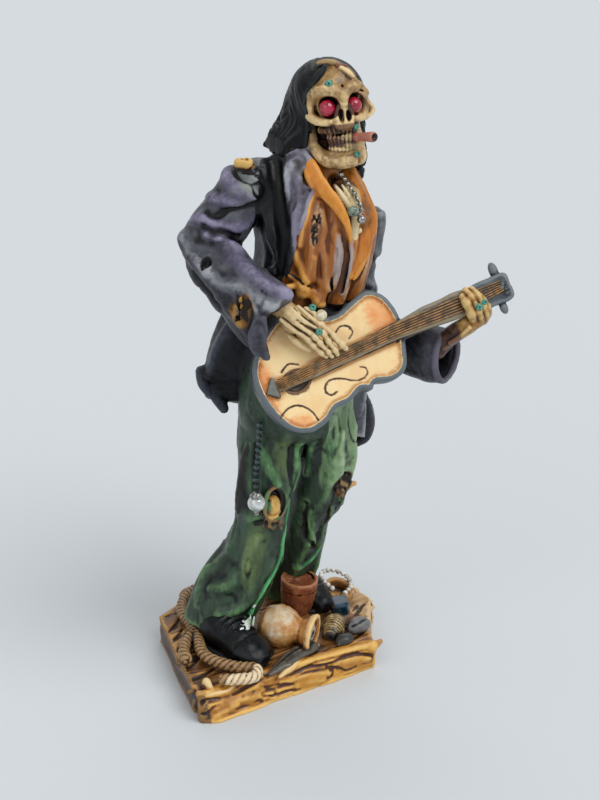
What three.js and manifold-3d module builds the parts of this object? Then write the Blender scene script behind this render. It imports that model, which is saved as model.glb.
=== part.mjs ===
// A skeletal guitarist, cast in resin on a driftwood plank, with the loose pieces glued to it.
// Millimetres, +Z up, the figure faces -Y. The origin is under the plank, on its flat underside.
import * as THREE from 'three';
import { LoftGeometry } from 'three/addons/geometries/LoftGeometry.js';
import * as BufferGeometryUtils from 'three/addons/utils/BufferGeometryUtils.js';
import Module from 'manifold-3d';

const wasm = await Module();
wasm.setup();

// Driving sizes
const plankTop = 14;
const ropeThickness = 5.2;
const ropeTurn = 10;
const headCentre = [27.5, -11.9, 279.6];
const headTurn = THREE.MathUtils.degToRad(-17.5);
const headLift = THREE.MathUtils.degToRad(-9.2);
const headRoll = THREE.MathUtils.degToRad(-3.6);
const eyeSpacing = 12.4;
const eyeRadius = 3.5;
const socketRadius = 5.2;
const turquoiseRadius = 2.1;
const pearlRadius = 2.3;
const chainPearlRadius = 4.2;
const chainPearlPlace = [-15.6, -14.4, 93.6];
const guitarThickness = 11;
const guitarCentre = [1.6, -45, 170.4];
const guitarYaw = THREE.MathUtils.degToRad(-25);
const guitarFaceTilt = THREE.MathUtils.degToRad(30);
const guitarRoll = THREE.MathUtils.degToRad(19.1);
const rimWidth = 3;
const recessDepth = 0.9;
const fingerboardHeight = 3.2;
const glueGap = 0.3;

const forward = new THREE.Vector3(0, -1, 0);
const upward = new THREE.Vector3(0, 0, 1);
const wholeTurn = 2 * Math.PI;
const radians = THREE.MathUtils.degToRad;

// Solids from geometries
function solid(geometry) {
  const bare = new THREE.BufferGeometry().copy(geometry);
  bare.deleteAttribute('normal');
  bare.deleteAttribute('uv');
  const merged = BufferGeometryUtils.mergeVertices(bare, 1e-4);
  return new wasm.Manifold(new wasm.Mesh({
    numProp: 3,
    vertProperties: new Float32Array(merged.attributes.position.array),
    triVerts: new Uint32Array(merged.index.array),
  }));
}

function join(solids) {
  return solids.reduce((whole, piece) => whole.add(piece));
}

function cut(whole, tools) {
  return tools.reduce((rest, tool) => rest.subtract(tool), whole);
}

// Smooth line through points, each given as [x, y, z]
function lineThrough(points) {
  return new THREE.CatmullRomCurve3(points.map(([x, y, z]) => new THREE.Vector3(x, y, z)), false, 'catmullrom', 0.5);
}

// An oval swept along stations of [x, y, z, half width, half depth]. Round it, angle 0 is the figure's
// right, 90 degrees its front and 180 degrees its left, where the stations climb.
// shape(angle, t) gives how far a point stands out, and how far it is moved along the path.
// crowd draws the sides together towards the front, up to 1.
function limb(stations, { sides = 16, steps = 8, facing = forward, shape = () => [0, 0], crowd = 0 } = {}) {
  const path = lineThrough(stations);
  const sizes = lineThrough(stations.map(([, , , wide, deep]) => [wide, deep ?? wide, 0]));
  const sections = [];
  for (let step = 0; step <= steps; step += 1) {
    const t = step / steps;
    const centre = path.getPoint(t);
    const along = path.getTangent(t);
    const front = facing.clone().addScaledVector(along, -facing.dot(along)).normalize();
    const across = front.clone().cross(along);
    const size = sizes.getPoint(t);
    const ring = [];
    for (let side = 0; side < sides; side += 1) {
      const turn = wholeTurn * side / sides;
      const angle = turn + crowd * Math.cos(turn);
      const [out, lift] = shape(angle, t);
      ring.push(centre.clone()
        .addScaledVector(across, Math.cos(angle) * (size.x + out))
        .addScaledVector(front, Math.sin(angle) * (size.y + out))
        .addScaledVector(along, lift));
    }
    sections.push(ring);
  }
  return new LoftGeometry(sections, { closed: true, capStart: true, capEnd: true });
}

// Signed difference of two angles, from -pi to pi
function turnBetween(angle, other) {
  return Math.atan2(Math.sin(angle - other), Math.cos(angle - other));
}

// Drapery: each fold is [start degrees, end degrees, width degrees, height, from t, to t]
function drape(folds, angle, t) {
  let out = 0;
  for (const [start, end, width, height, from, to] of folds) {
    if (t < from || t > to) {
      continue;
    }
    const progress = (t - from) / (to - from);
    const middle = radians(THREE.MathUtils.lerp(start, end, progress));
    const offset = turnBetween(angle, middle) / radians(width);
    out += height * Math.exp(-offset * offset) * Math.sin(Math.PI * Math.min(1, progress * 0.9 + 0.1));
  }
  return out;
}

function ellipsoid([x, y, z], [rx, ry, rz], { wide = 10, high = 7, turn = [0, 0, 0] } = {}) {
  const geometry = new THREE.SphereGeometry(1, wide, high);
  geometry.rotateX(Math.PI / 2);
  geometry.scale(rx, ry, rz);
  geometry.rotateX(turn[0]).rotateY(turn[1]).rotateZ(turn[2]);
  geometry.translate(x, y, z);
  return geometry;
}

// A round bar between two points
function bar(from, to, radiusFrom, radiusTo = radiusFrom, sides = 7) {
  const start = new THREE.Vector3(...from);
  const end = new THREE.Vector3(...to);
  const geometry = new THREE.CylinderGeometry(radiusTo, radiusFrom, start.distanceTo(end), sides);
  const direction = end.clone().sub(start).normalize();
  geometry.applyQuaternion(new THREE.Quaternion().setFromUnitVectors(new THREE.Vector3(0, 1, 0), direction));
  geometry.translate(...start.add(end).multiplyScalar(0.5).toArray());
  return geometry;
}

function box([x, y, z], [sx, sy, sz], [turnX, turnY, turnZ] = [0, 0, 0]) {
  const geometry = new THREE.BoxGeometry(sx, sy, sz);
  geometry.rotateX(turnX).rotateY(turnY).rotateZ(turnZ);
  geometry.translate(x, y, z);
  return geometry;
}

// Driftwood plank: cross-sections from its left end to its right, with grain ridges along it
const plankEnds = [-61, 57.5];
const plankFront = lineThrough([[-61, -32, 0], [-40, -34, 0], [-8, -37.5, 0], [20, -40.5, 0], [34, -43.5, 0],
  [40, -30, 0], [50, -19, 0], [57.5, -9, 0]]);
const plankToe = lineThrough([[-61, -37, 0], [-54, -40.6, 0], [-21, -41.4, 0], [4, -42.8, 0], [34, -44, 0],
  [40, -31, 0], [50, -20, 0], [57.5, -10, 0]]);
const plankBack = lineThrough([[-61, -29, 0], [-57, -16, 0], [-52.5, 0, 0], [-46, 18, 0], [-40, 38, 0], [-18, 47, 0],
  [25, 46, 0], [57.5, 16, 0]]);
const plankStations = 12;
const undercut = 5;

function plankRidge(x, y) {
  const wander = 2.4 * Math.sin(x * 0.061 + 0.7) + 1.3 * Math.sin(x * 0.13 + 2);
  const broad = Math.sin((y + wander) * 0.55);
  const fine = Math.sin((y + 1.6 * wander) * 1.15 + 0.05 * x);
  return 0.85 * broad + 0.6 * fine + 0.8 * Math.sin(x * 0.045 + y * 0.06);
}

function widthAt(curve, x) {
  const samples = curve.getPoints(80);
  const after = samples.findIndex((point) => point.x >= x);
  if (after <= 0) {
    return after === 0 ? samples[0].y : samples.at(-1).y;
  }
  const before = samples[after - 1];
  const share = (x - before.x) / (samples[after].x - before.x);
  return THREE.MathUtils.lerp(before.y, samples[after].y, share);
}

function plank() {
  const sections = [];
  const crossings = 6;
  for (let station = 0; station <= plankStations; station += 1) {
    const x = THREE.MathUtils.lerp(...plankEnds, station / plankStations);
    const front = widthAt(plankFront, x);
    const toe = widthAt(plankToe, x);
    const back = widthAt(plankBack, x);
    const backBelow = widthAt(plankBack, x - undercut);
    const ring = [new THREE.Vector3(x, toe, 0), new THREE.Vector3(x, backBelow - 0.5, 0)];
    for (let crossing = crossings; crossing >= 0; crossing -= 1) {
      const share = crossing / crossings;
      const y = THREE.MathUtils.lerp(front, back, share);
      const rim = 1.6 * Math.max(0, 1 - 8 * Math.min(share, 1 - share));
      ring.push(new THREE.Vector3(x, y, plankTop - rim + plankRidge(x, y)));
    }
    for (const height of [0.66, 0.3]) {
      const groove = 1.3 * Math.sin(height * 15 + x * 0.035) + 0.5 * Math.sin(x * 0.27 + height * 9);
      ring.push(new THREE.Vector3(x, THREE.MathUtils.lerp(toe, front, height) - 0.6 + groove, height * plankTop));
    }
    sections.push(ring);
  }
  return new LoftGeometry(sections, { closed: true, capStart: true, capEnd: true });
}

// Two-strand rope laid along a route: a flat oval that turns as it goes
function rope(route, sides = 4) {
  const path = lineThrough(route);
  const turns = path.getLength() / ropeTurn;
  const steps = Math.round(turns * 2.4);
  const sections = [];
  for (let step = 0; step <= steps; step += 1) {
    const centre = path.getPointAt(step / steps);
    const along = path.getTangentAt(step / steps);
    const up = upward.clone().addScaledVector(along, -upward.dot(along)).normalize();
    const across = up.clone().cross(along);
    const twist = wholeTurn * turns * step / steps;
    const ring = [];
    for (let side = 0; side < sides; side += 1) {
      const angle = wholeTurn * side / sides;
      const radius = ropeThickness * (0.48 + 0.12 * Math.cos(2 * (angle - twist)));
      ring.push(centre.clone()
        .addScaledVector(across, Math.cos(angle) * radius)
        .addScaledVector(up, Math.sin(angle) * radius));
    }
    sections.push(ring);
  }
  return new LoftGeometry(sections, { closed: true, capStart: true, capEnd: true });
}

const ropeRoute = [
  [-13, 47, 18], [-24, 40, 18], [-31, 31, 18], [-34, 18, 18], [-37, 7, 18.4], [-43, -6, 18.8],
  [-44, -14, 18.8], [-41, -22, 18.4], [-36, -29, 18.2], [-30, -34.5, 18], [-34, -38.5, 17],
  [-41, -36.5, 17.4], [-49, -32, 17.6],
];
const ropeStub = [[-37, 10, 18], [-44, 5, 18], [-50, -2, 17.5], [-52, -9, 17]];

// Shoes
function shoe(toe, heel, girth) {
  const [tx, ty] = toe;
  const [hx, hy] = heel;
  const along = (share, z, wide, deep) => [hx + (tx - hx) * share, hy + (ty - hy) * share, z, wide, deep];
  const stations = [
    along(-0.05, 17, 3, 2.5), along(0.05, 20, 7, 7), along(0.3, 23, girth, 10.5), along(0.52, 22, girth, 9.5),
    along(0.76, 19.6, girth + 0.8, 7.4), along(0.94, 18, girth - 1.5, 5), along(1.02, 17.3, 3.5, 3),
  ];
  return limb(stations, { sides: 8, steps: 5, facing: upward });
}

// Trousers: a flared right leg that spreads over the shoe, a left leg set back, and the seat
const rightLegStations = [
  [-25.5, 10, 21, 12.5, 15], [-22.5, 9, 27, 14.4, 15.6], [-17.5, 6.6, 37, 15, 15.4], [-12.4, 4.4, 46, 14.2, 14.6],
  [-9, 2.6, 53, 13, 13.6], [-7, 1, 60, 13.8, 13.6], [-4, -1.2, 76, 13.4, 13], [-2.5, -1.6, 90, 13.8, 13.4], [1, -0.7, 105, 15.2, 14.4],
  [4, 1, 122, 16.6, 16], [7, 1, 138, 15, 15],
];
const rightLegFolds = [
  [128, 150, 13, 2.6, 0, 0.55], [60, 100, 12, 1.6, 0, 0.5], [20, 45, 14, 1.7, 0, 0.5], [-25, -5, 13, 2, 0, 0.6],
  [215, 190, 14, 2, 0, 0.6], [280, 300, 16, 2, 0, 0.6], [150, 60, 10, 1.5, 0.45, 0.75],
  [165, 100, 11, 1.6, 0.55, 0.95], [40, 20, 12, 1.4, 0.6, 1], [95, 130, 10, 1.5, 0.62, 1],
];
const leftLegStations = [
  [27, 25, 17, 11.5, 13], [27, 21, 27, 11.5, 12.5], [27.2, 15, 40, 10.6, 11.5], [27.4, 9.5, 54, 10.4, 10.5],
  [27.5, 4.5, 69, 11.6, 11], [29.5, -1.5, 84, 13.6, 12.8], [30.5, -6, 100, 13.9, 13.2],
  [29, -8, 116, 14.2, 13.6], [26, -6, 136, 14, 14],
];
const leftLegFolds = [
  [100, 150, 12, 2.2, 0, 0.5], [40, 80, 12, 1.6, 0, 0.6], [170, 175, 12, 2, 0, 0.55], [230, 250, 15, 2, 0, 0.6],
  [140, 70, 11, 1.8, 0.5, 0.8], [60, 85, 10, 1.8, 0.58, 1], [120, 135, 12, 1.5, 0.6, 1],
];
const hipStations = [
  [15.5, -1, 120, 16, 12], [15.4, -2.6, 126, 27, 19], [15.4, -3.6, 138, 30, 21.5],
  [17.5, -4.4, 152, 30, 21.5], [20, -5, 168, 28, 21],
];

function trousers() {
  const hemDrop = (angle, t) => (t < 0.12 ? 5 * (1 - t / 0.12) * Math.cos(turnBetween(angle, radians(150))) : 0);
  const rightLeg = limb(rightLegStations, {
    sides: 15, steps: 9, shape: (angle, t) => [drape(rightLegFolds, angle, t), hemDrop(angle, t)],
  });
  const leftLeg = limb(leftLegStations, {
    sides: 12, steps: 7, shape: (angle, t) => [drape(leftLegFolds, angle, t), 0.6 * hemDrop(angle, t)],
  });
  const seat = limb(hipStations, { sides: 12, steps: 2 });
  const rightKnee = ellipsoid([-6.5, -15.4, 92], [4.6, 3.6, 5.4], { wide: 7, high: 5 });
  const leftKneeRag = bar([34, -14, 92], [38.5, -18.5, 88.5], 2.8, 0.8, 5);
  return [rightLeg, leftLeg, seat, rightKnee, leftKneeRag];
}

// Jacket: open in front, with standing edges, a flared skirt and an uneven hem
const jacketStations = [
  [14.5, 3, 131, 41, 28], [14.5, 2, 143, 40.5, 28], [14.8, 0.5, 156, 39.5, 27.5], [17, -1.5, 170, 36, 26],
  [20, -4, 184, 30.5, 23.5], [23, -6, 199, 27.6, 22], [24.4, -7, 213, 29, 23], [24, -7.3, 226, 31.5, 23.5],
  [24, -7.5, 237, 29.5, 21], [26, -8, 246, 20, 16], [27, -8, 253, 11, 11],
];
const jacketFolds = [
  [-8, 12, 10, 2.8, 0, 0.8], [-40, -25, 12, 3.6, 0, 0.7], [-75, -60, 13, 3, 0, 0.6], [200, 188, 13, 3.4, 0, 0.7],
  [236, 228, 14, 3.4, 0, 0.7], [270, 270, 12, 2.6, 0, 0.75], [176, 172, 18, -2, 0, 0.8], [24, 27, 7, 1, 0.3, 0.85],
  [300, 310, 16, 1.8, 0.5, 0.95], [245, 230, 16, 1.8, 0.5, 0.95],
];
const shoulderSlope = 0.36;

function jacketShape(angle, t) {
  const openRight = radians(THREE.MathUtils.lerp(-34, 36, Math.min(1, t * 1.9)));
  const openLeft = radians(THREE.MathUtils.lerp(152, 134, Math.min(1, t * 1.9)));
  const middle = (openRight + openLeft) / 2;
  const reach = (openLeft - openRight) / 2;
  const inside = reach - Math.abs(turnBetween(angle, middle));
  const opening = THREE.MathUtils.smoothstep(inside, -0.04, 0.14);
  const lapel = THREE.MathUtils.lerp(2, 3.4, t) * Math.exp(-(((inside + 0.16) / 0.2) ** 2));
  const sunk = -THREE.MathUtils.lerp(17, 6.5, Math.min(1, t * 2.2));
  const out = opening * sunk + (1 - opening) * (drape(jacketFolds, angle, t) + lapel);
  const hem = (1 - Math.min(1, t / 0.35)) ** 1.6;
  const lift = 27 * shoulderSlope * Math.cos(angle) * THREE.MathUtils.smoothstep(t, 0.5, 0.85);
  const tails = 8 * Math.exp(-((turnBetween(angle, radians(160)) / 0.45) ** 2));
  return [out, lift + hem * (13 * Math.cos(turnBetween(angle, radians(10))) - 6 - tails)];
}

const rightUpperArm = [
  [4, -4, 246, 9, 10], [-6, -3, 246.5, 11, 11], [-13, -1, 242, 11.8, 12], [-15.4, 1.5, 235, 12.2, 12.4],
  [-18, 5, 228, 13.8, 13.8], [-22.4, 10, 219.5, 13.4, 13], [-25.4, 12, 213, 11.4, 10], [-25.4, 12, 209, 6, 6],
];
const rightForearm = [
  [-27, 19, 222, 5, 5], [-26, 14, 219.5, 11, 11], [-24.5, 4, 213, 12.5, 13], [-23, -8, 206, 12.5, 14],
  [-21.5, -19, 199, 13, 17], [-18.5, -28, 192.5, 11.5, 19.5], [-17.5, -31.5, 190, 9.5, 18.5],
];
const rightArmFolds = [
  [20, 60, 14, 1.6, 0, 1], [-40, 20, 14, 1.6, 0.1, 1], [100, 70, 14, 1.8, 0.2, 1], [190, 160, 16, 1.5, 0.2, 1],
];
const leftUpperArm = [
  [29, -7, 232, 8, 9], [35, -9, 228, 10, 11], [38.6, -10.4, 220, 10.6, 12], [41, -11, 206, 10.5, 12],
  [42.5, -9, 192, 10, 12], [44.5, -8, 177, 10, 12], [46, -8, 166, 8, 9],
];
const leftForearm = [
  [44, -3, 172, 6, 6], [45, -9, 170, 9.5, 10.5], [48, -22, 166, 10, 12], [53, -34, 164, 10.5, 12.4],
  [58.5, -47, 163.4, 10.8, 13.8], [62.5, -55, 163.8, 9.6, 12.8],
];
const sleeveFolds = [
  [30, 60, 14, 1.7, 0, 1], [120, 80, 14, 1.6, 0.1, 1], [200, 240, 16, 1.6, 0, 1], [-60, -20, 14, 1.6, 0.2, 1],
];

function jacket() {
  const body = limb(jacketStations, { sides: 24, steps: 8, shape: jacketShape, crowd: 0.25 });
  const folded = (folds) => (angle, t) => [drape(folds, angle, t), 0];
  return [
    body,
    limb(rightUpperArm, { sides: 10, steps: 6, shape: folded(rightArmFolds) }),
    limb(rightForearm, { sides: 11, steps: 5, facing: upward, shape: folded(sleeveFolds) }),
    limb(leftUpperArm, { sides: 9, steps: 4, shape: folded(rightArmFolds) }),
    limb(leftForearm, { sides: 10, steps: 4, facing: upward, shape: folded(sleeveFolds) }),
    ellipsoid([-13.5, -5, 254.5], [4.2, 3.6, 3.2], { wide: 6, high: 4 }),
  ];
}

// Shirt: hanging folds, and a broad collar that stands open over the chest bones
const shirtStations = [
  [19, -5, 180, 22, 18], [19.5, -6, 192, 27.5, 22.5], [21.5, -8, 203, 28.5, 23.5], [23.5, -9.5, 218, 29.5, 24.5],
  [24.5, -9.5, 232, 28, 23.5], [26, -9.5, 243, 19, 17], [27, -9, 249, 9, 9],
];
const shirtFolds = [
  [50, 56, 6, 4, 0, 0.9], [71, 74, 6, 4, 0, 0.85], [90, 90, 6, 5, 0, 0.85], [108, 105, 6, 4.4, 0, 0.85],
];

function shirt() {
  const slope = (angle, t) => 20 * shoulderSlope * Math.cos(angle) * THREE.MathUtils.smoothstep(t, 0.5, 0.9);
  const body = limb(shirtStations, {
    sides: 18, steps: 5, shape: (angle, t) => [drape(shirtFolds, angle, t), slope(angle, t)], crowd: 0.6,
  });
  const collar = (points) => limb(points, { sides: 5, steps: 5 });
  const rightCollar = collar([
    [11, -10, 255, 3, 3.4], [12, -19, 254.5, 4, 3.6], [14.6, -28, 247, 4.6, 3.2], [17, -34, 239.5, 4.6, 3],
    [18.8, -36.5, 230, 3.4, 2.8], [20, -36.5, 219, 1.6, 1.8],
  ]);
  const leftCollar = collar([
    [32.6, -8, 246, 2.6, 3.2], [31.4, -19.6, 246, 3, 3.4], [32.6, -26, 238.4, 4, 3.2], [34.4, -30.4, 230, 4.6, 3],
    [32, -33.4, 220.5, 4.4, 2.8], [26.4, -35.4, 209, 3.4, 2.6], [21, -34.8, 198, 1.6, 1.8],
  ]);
  const breastbone = ellipsoid([25.5, -28.5, 232], [6, 6, 13], { wide: 6, high: 4 });
  return [body, rightCollar, leftCollar, breastbone];
}

// Head, in its own frame: x to the figure's left, -y to the front of the face, z up, origin mid-skull
const headFrame = new THREE.Matrix4()
  .makeRotationFromEuler(new THREE.Euler(headLift, headRoll, headTurn, 'ZXY'))
  .setPosition(...headCentre);

function eyePlace(side) {
  return [side * eyeSpacing / 2, -14.6, -1.4];
}

// A row of teeth as one ribbed arch
function toothRow(count, reach, depth, z, height) {
  const arch = [-75, -40, 0, 40, 75].map(radians)
    .map((angle) => [reach * Math.sin(angle), -11.6 - depth * Math.cos(angle), z, 0.9, height / 2]);
  const ribs = (angle, t) => [0.7 * Math.abs(Math.sin(Math.PI * count * t)), 0];
  return limb(arch, { sides: 3, steps: 2 * count, facing: upward, shape: ribs });
}

// Skull sections from the upper jaw to the crown
const skullStations = [
  [0, -12.4, -14.6, 6.4, 5.6], [0, -11, -11.4, 7.8, 6.8], [0, -5.6, -7.6, 11.4, 11], [0, -1.6, -3, 12.6, 14.6],
  [0, -0.4, 2, 13.6, 16.8], [0, 0.4, 7.6, 13.6, 16.8], [0, 0.8, 12, 11, 14], [0, 1, 15.2, 6, 8],
];
// Each swelling is [degrees, spread in degrees, t, spread in t, height]
const skullSwellings = [
  [42, 15, 0.3, 0.1, 4], [138, 15, 0.3, 0.1, 4], [62, 18, 0.6, 0.07, 1.8], [118, 18, 0.6, 0.07, 1.8],
  [90, 8, 0.36, 0.13, 2.6], [90, 20, 0.08, 0.12, 1.2],
];

function skullShape(angle, t) {
  const out = skullSwellings.reduce((sum, [turn, spread, middle, reach, height]) => {
    const aside = turnBetween(angle, radians(turn)) / radians(spread);
    const above = (t - middle) / reach;
    return sum + height * Math.exp(-aside * aside - above * above);
  }, 0);
  return [out, 0];
}

function skull() {
  const bone = limb(skullStations, { sides: 15, steps: 8, shape: skullShape });
  const inner = ellipsoid([0, -7.4, -18], [7.6, 9.6, 8.6], { wide: 7, high: 4 });
  const brokenBrow = ellipsoid([11.8, -10.6, 4], [2.6, 3, 2.4], { wide: 6, high: 4 });
  const jaw = limb([
    [-12.2, 0, -9, 1.9, 3.2], [-12.6, -1, -18, 2, 3.4], [-10.5, -7, -24.5, 2.8, 3.4], [-6, -13.5, -26.6, 3.6, 4],
    [0, -15.6, -27, 3.8, 4.6], [6, -13.5, -26.6, 3.6, 4], [10.5, -7, -24.5, 2.8, 3.4], [12.6, -1, -18, 2, 3.4],
    [12.2, 0, -9, 1.9, 3.2],
  ], { sides: 5, steps: 8, facing: new THREE.Vector3(0.02, 0.3, 1) });
  const teeth = [toothRow(6, 6.4, 6.2, -16, 3.8), toothRow(5, 5.8, 5.6, -20.2, 3.4)];
  const cigar = bar([3.4, -15.5, -17.4], [8.8, -25.4, -16.4], 1.9, 2.3, 6);
  const sockets = [-1, 1].map((side) => {
    const [x, y, z] = eyePlace(side);
    const socketRadii = [socketRadius, socketRadius + 1.4, socketRadius + 0.7];
    return ellipsoid([x, y - 1.4, z - 0.4], socketRadii, { wide: 8, high: 4 });
  });
  const nostrils = [-1, 1].map((side) => (
    ellipsoid([side * 1.5, -19.4, -7.6], [1.2, 2.4, 2.4], { wide: 5, high: 4, turn: [0, side * 0.3, 0] })
  ));
  const crack = bar([2.2, -12, 15], [4.8, -16.4, 10], 0.9, 0.7, 4);
  const carved = cut(join([bone, inner].map(solid)), [...sockets, ...nostrils, crack].map(solid));
  return join([carved, ...[brokenBrow, jaw, ...teeth, cigar].map(solid)]).transform(headFrame.toArray());
}

// Hair: a parted cap over the skull and three hanging masses, all combed into locks
function combed(depth, locks) {
  return (angle, t) => [depth * Math.sin(locks * angle + 3 * t), 0];
}

function hair() {
  const cap = cut(solid(ellipsoid([-0.9, 1.8, 0.6], [17, 20, 18], { wide: 11, high: 7 })), [
    solid(box([0, -24.6, 0], [40, 30, 50], [radians(-5), 0, 0])),
    solid(box([0, -2, -22], [40, 50, 24])),
  ]);
  const parting = solid(bar([-1.6, -13, 16.4], [-1, 6, 19.4], 1.1, 0.8, 4));
  const capInPlace = cap.subtract(parting).transform(headFrame.toArray());
  const rightFall = limb([
    [17.5, -3.5, 288, 3.4, 5.5], [15.5, -4, 281, 4, 7.5], [14.4, -4, 274, 4.6, 8.5], [13, -4, 267, 6, 9.5],
    [10, -3, 260, 9, 10], [6.5, -2, 254, 9.5, 9],
  ].reverse(), { sides: 9, steps: 4, shape: combed(0.8, 3) });
  const backFall = limb([
    [27.4, -3, 287, 9, 8], [27.2, -2, 279, 15, 10], [27, -1, 268, 16.8, 11.4], [27, 2, 252, 17.4, 11.5],
    [27, 7, 240, 16.6, 9.5], [27, 11.6, 228, 13, 6.5], [27, 14, 219, 7, 3.4],
  ].reverse(), { sides: 12, steps: 5, shape: combed(0.9, 4) });
  const leftFall = limb([
    [38, -4, 290, 4, 7], [39.5, -7, 279, 4.6, 9], [39.5, -9, 267, 4.8, 9], [38, -14, 256, 4.2, 7],
    [36, -20, 249.5, 3, 4.5], [34.4, -23, 244, 1.4, 2],
  ].reverse(), { sides: 7, steps: 4, shape: combed(0.5, 2) });
  return join([capInPlace, ...[rightFall, backFall, leftFall].map(solid)]);
}

function neck() {
  const column = limb([[27, -10, 238, 7.5, 7], [26.5, -12, 250, 6, 6], [27, -9, 262, 7, 7]], { sides: 8, steps: 2 });
  const tendons = [-3.6, 0, 3.6].map((x) => bar([24 + x, -18.5, 240], [24.5 + x * 0.8, -15.5, 256], 1.2, 1, 4));
  return [column, ...tendons];
}

// Guitar frame: x along the neck, y across it in the soundboard, z out of the soundboard
const guitarFrame = new THREE.Matrix4()
  .makeRotationFromEuler(new THREE.Euler(Math.PI / 2 - guitarFaceTilt, 0, guitarYaw, 'ZXY'))
  .multiply(new THREE.Matrix4().makeRotationZ(guitarRoll))
  .setPosition(...guitarCentre);

function onGuitar([x, y, z]) {
  return new THREE.Vector3(x, y, z).applyMatrix4(guitarFrame).toArray();
}

const guitarOutline = [
  [-32.6, 2], [-31, -10], [-26, -20.5], [-18, -25], [-9, -23.5], [-3, -19.8], [4, -19.4], [10.5, -16.6], [15, -18.6],
  [18, -16.4], [26, -18.4], [33, -16], [37, -8], [39.6, 2], [40, 10], [37, 19], [30.5, 23.4], [22, 21.4], [14, 19],
  [7, 20.5], [-1, 26.5], [-10, 28], [-21, 22], [-30, 12],
];

function outlineShape(inset) {
  const points = guitarOutline.map(([x, y]) => new THREE.Vector2(x, y));
  const middle = new THREE.Vector2(2, 1);
  const drawn = points.map((point) => {
    const outwards = point.clone().sub(middle);
    return point.clone().sub(outwards.setLength(inset));
  });
  const curve = new THREE.SplineCurve([...drawn, drawn[0]]);
  return new THREE.Shape(curve.getPoints(34).slice(0, -1));
}

function slab(shape, bottom, top) {
  const geometry = new THREE.ExtrudeGeometry(shape, { depth: top - bottom, bevelEnabled: false });
  return geometry.translate(0, 0, bottom);
}

function groove(points, radius = 0.45) {
  const path = lineThrough(points.map(([x, y]) => [x, y, -recessDepth]));
  const section = new THREE.Shape(new THREE.Path().absarc(0, 0, radius, 0, wholeTurn).getPoints(2).slice(0, -1));
  return new THREE.ExtrudeGeometry(section, { steps: 4, extrudePath: path, bevelEnabled: false });
}

const scrolls = [
  [[10.5, 9.5], [13, 12.6], [17, 12.2], [18.4, 8.6], [16, 6.2]],
  [[14, -6], [17, -8.6], [14, -11.6], [6, -9.4], [-2, -9], [-4.6, -12.4], [-1.6, -15], [1.2, -12.6]],
  [[-28, -13], [-22, -11.4], [-15, -14], [-12, -20]],
];

function guitarBody() {
  const body = solid(slab(outlineShape(0), -guitarThickness, 0.6));
  const recess = solid(slab(outlineShape(rimWidth), -recessDepth, 2));
  const soundHole = solid(ellipsoid([-15.5, 0, -recessDepth], [6, 4.4, 2.4], { wide: 10, high: 4 }));
  const marks = scrolls.map((points) => solid(groove(points)));
  return cut(body, [recess, soundHole, ...marks]);
}

function flatShape(outline, grow = 0) {
  const middle = (outline[0][0] + Math.max(...outline.map(([x]) => x))) / 2;
  const grown = (value, from) => value + Math.sign(value - from) * grow;
  return new THREE.Shape(outline.map(([x, y]) => new THREE.Vector2(grown(x, middle), grown(y, 0))));
}

const fingerboard = [
  [-14, -2.4], [22, -2.8], [45, -4.4], [60, -5.6], [77, -5.6], [77, 5.4], [60, 6.2], [45, 7.8], [22, 3.6], [-14, 2.6],
];
const neckBack = [[34, -4], [80, -4.4], [80, 5], [34, 5.4]];
const headstock = [[74, -5], [84, -6.2], [92, -5.8], [93, 1], [92.5, 6.2], [85, 6.8], [74, 5.6]];

function neckPieces(grow) {
  const round = ([x, y, z], radii) => ellipsoid([x, y, z], radii.map((radius) => radius + grow), { wide: 6, high: 4 });
  return [
    slab(flatShape(fingerboard, grow), -recessDepth - 0.3 - grow, fingerboardHeight + grow),
    slab(flatShape(neckBack, grow), -4.4 - grow, 1 + grow),
    slab(flatShape(headstock, grow), -2.4 - grow, fingerboardHeight + 0.4 + grow),
    box([-25.5, 0, 0.6], [7 + 2 * grow, 8.5 + 2 * grow, 3.4 + 2 * grow], [0, 0, radians(12)]),
    box([-8.4, 0, 1], [7.4 + 2 * grow, 7.2 + 2 * grow, 5 + 2 * grow]),
    round([88, 9.2, 0.6], [2.2, 4.2, 2.2]),
    round([86, -8.4, 0.6], [2.1, 3.4, 2]),
  ];
}

// Hands
function digit(points, radius) {
  const sizes = [1, 1.25, 0.95, 1.2, 0.85];
  const stations = points.map((point, index) => [...point, radius * sizes[index]]);
  return limb(stations, { sides: 4, steps: 3, facing: new THREE.Vector3(0.31, -0.77, 0.56) });
}

function between(from, to, share) {
  return from.map((value, axis) => THREE.MathUtils.lerp(value, to[axis], share));
}

function rightHand() {
  const palm = [-3, 24.6, 6.6];
  const knuckles = [[2.4, 22, 8], [1.4, 19.6, 8], [-1, 17.6, 7.4], [-4.4, 17.6, 6.2]];
  const middles = [[7.4, 9.4, 7.4], [4.8, 8, 7.4], [2.2, 7.4, 6.8], [-1, 8.2, 6]];
  const tips = [[9.4, -0.2, 4.4], [6.4, 0.8, 4.4], [3.2, 2.4, 4.2], [0.4, 4.6, 3.6]];
  const pieces = knuckles.map((knuckle, finger) => {
    const middle = middles[finger];
    const line = [between(knuckle, palm, 0.6), knuckle, between(knuckle, middle, 0.5), middle, tips[finger]];
    return digit(line.map(onGuitar), 2.1);
  });
  pieces.push(ellipsoid(onGuitar(palm), [6, 5.4, 5.4], { wide: 6, high: 4 }));
  pieces.push(bar(onGuitar([-14, 38, 9]), onGuitar([-4, 27, 7.4]), 5, 4.4, 6));
  return pieces;
}

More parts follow.
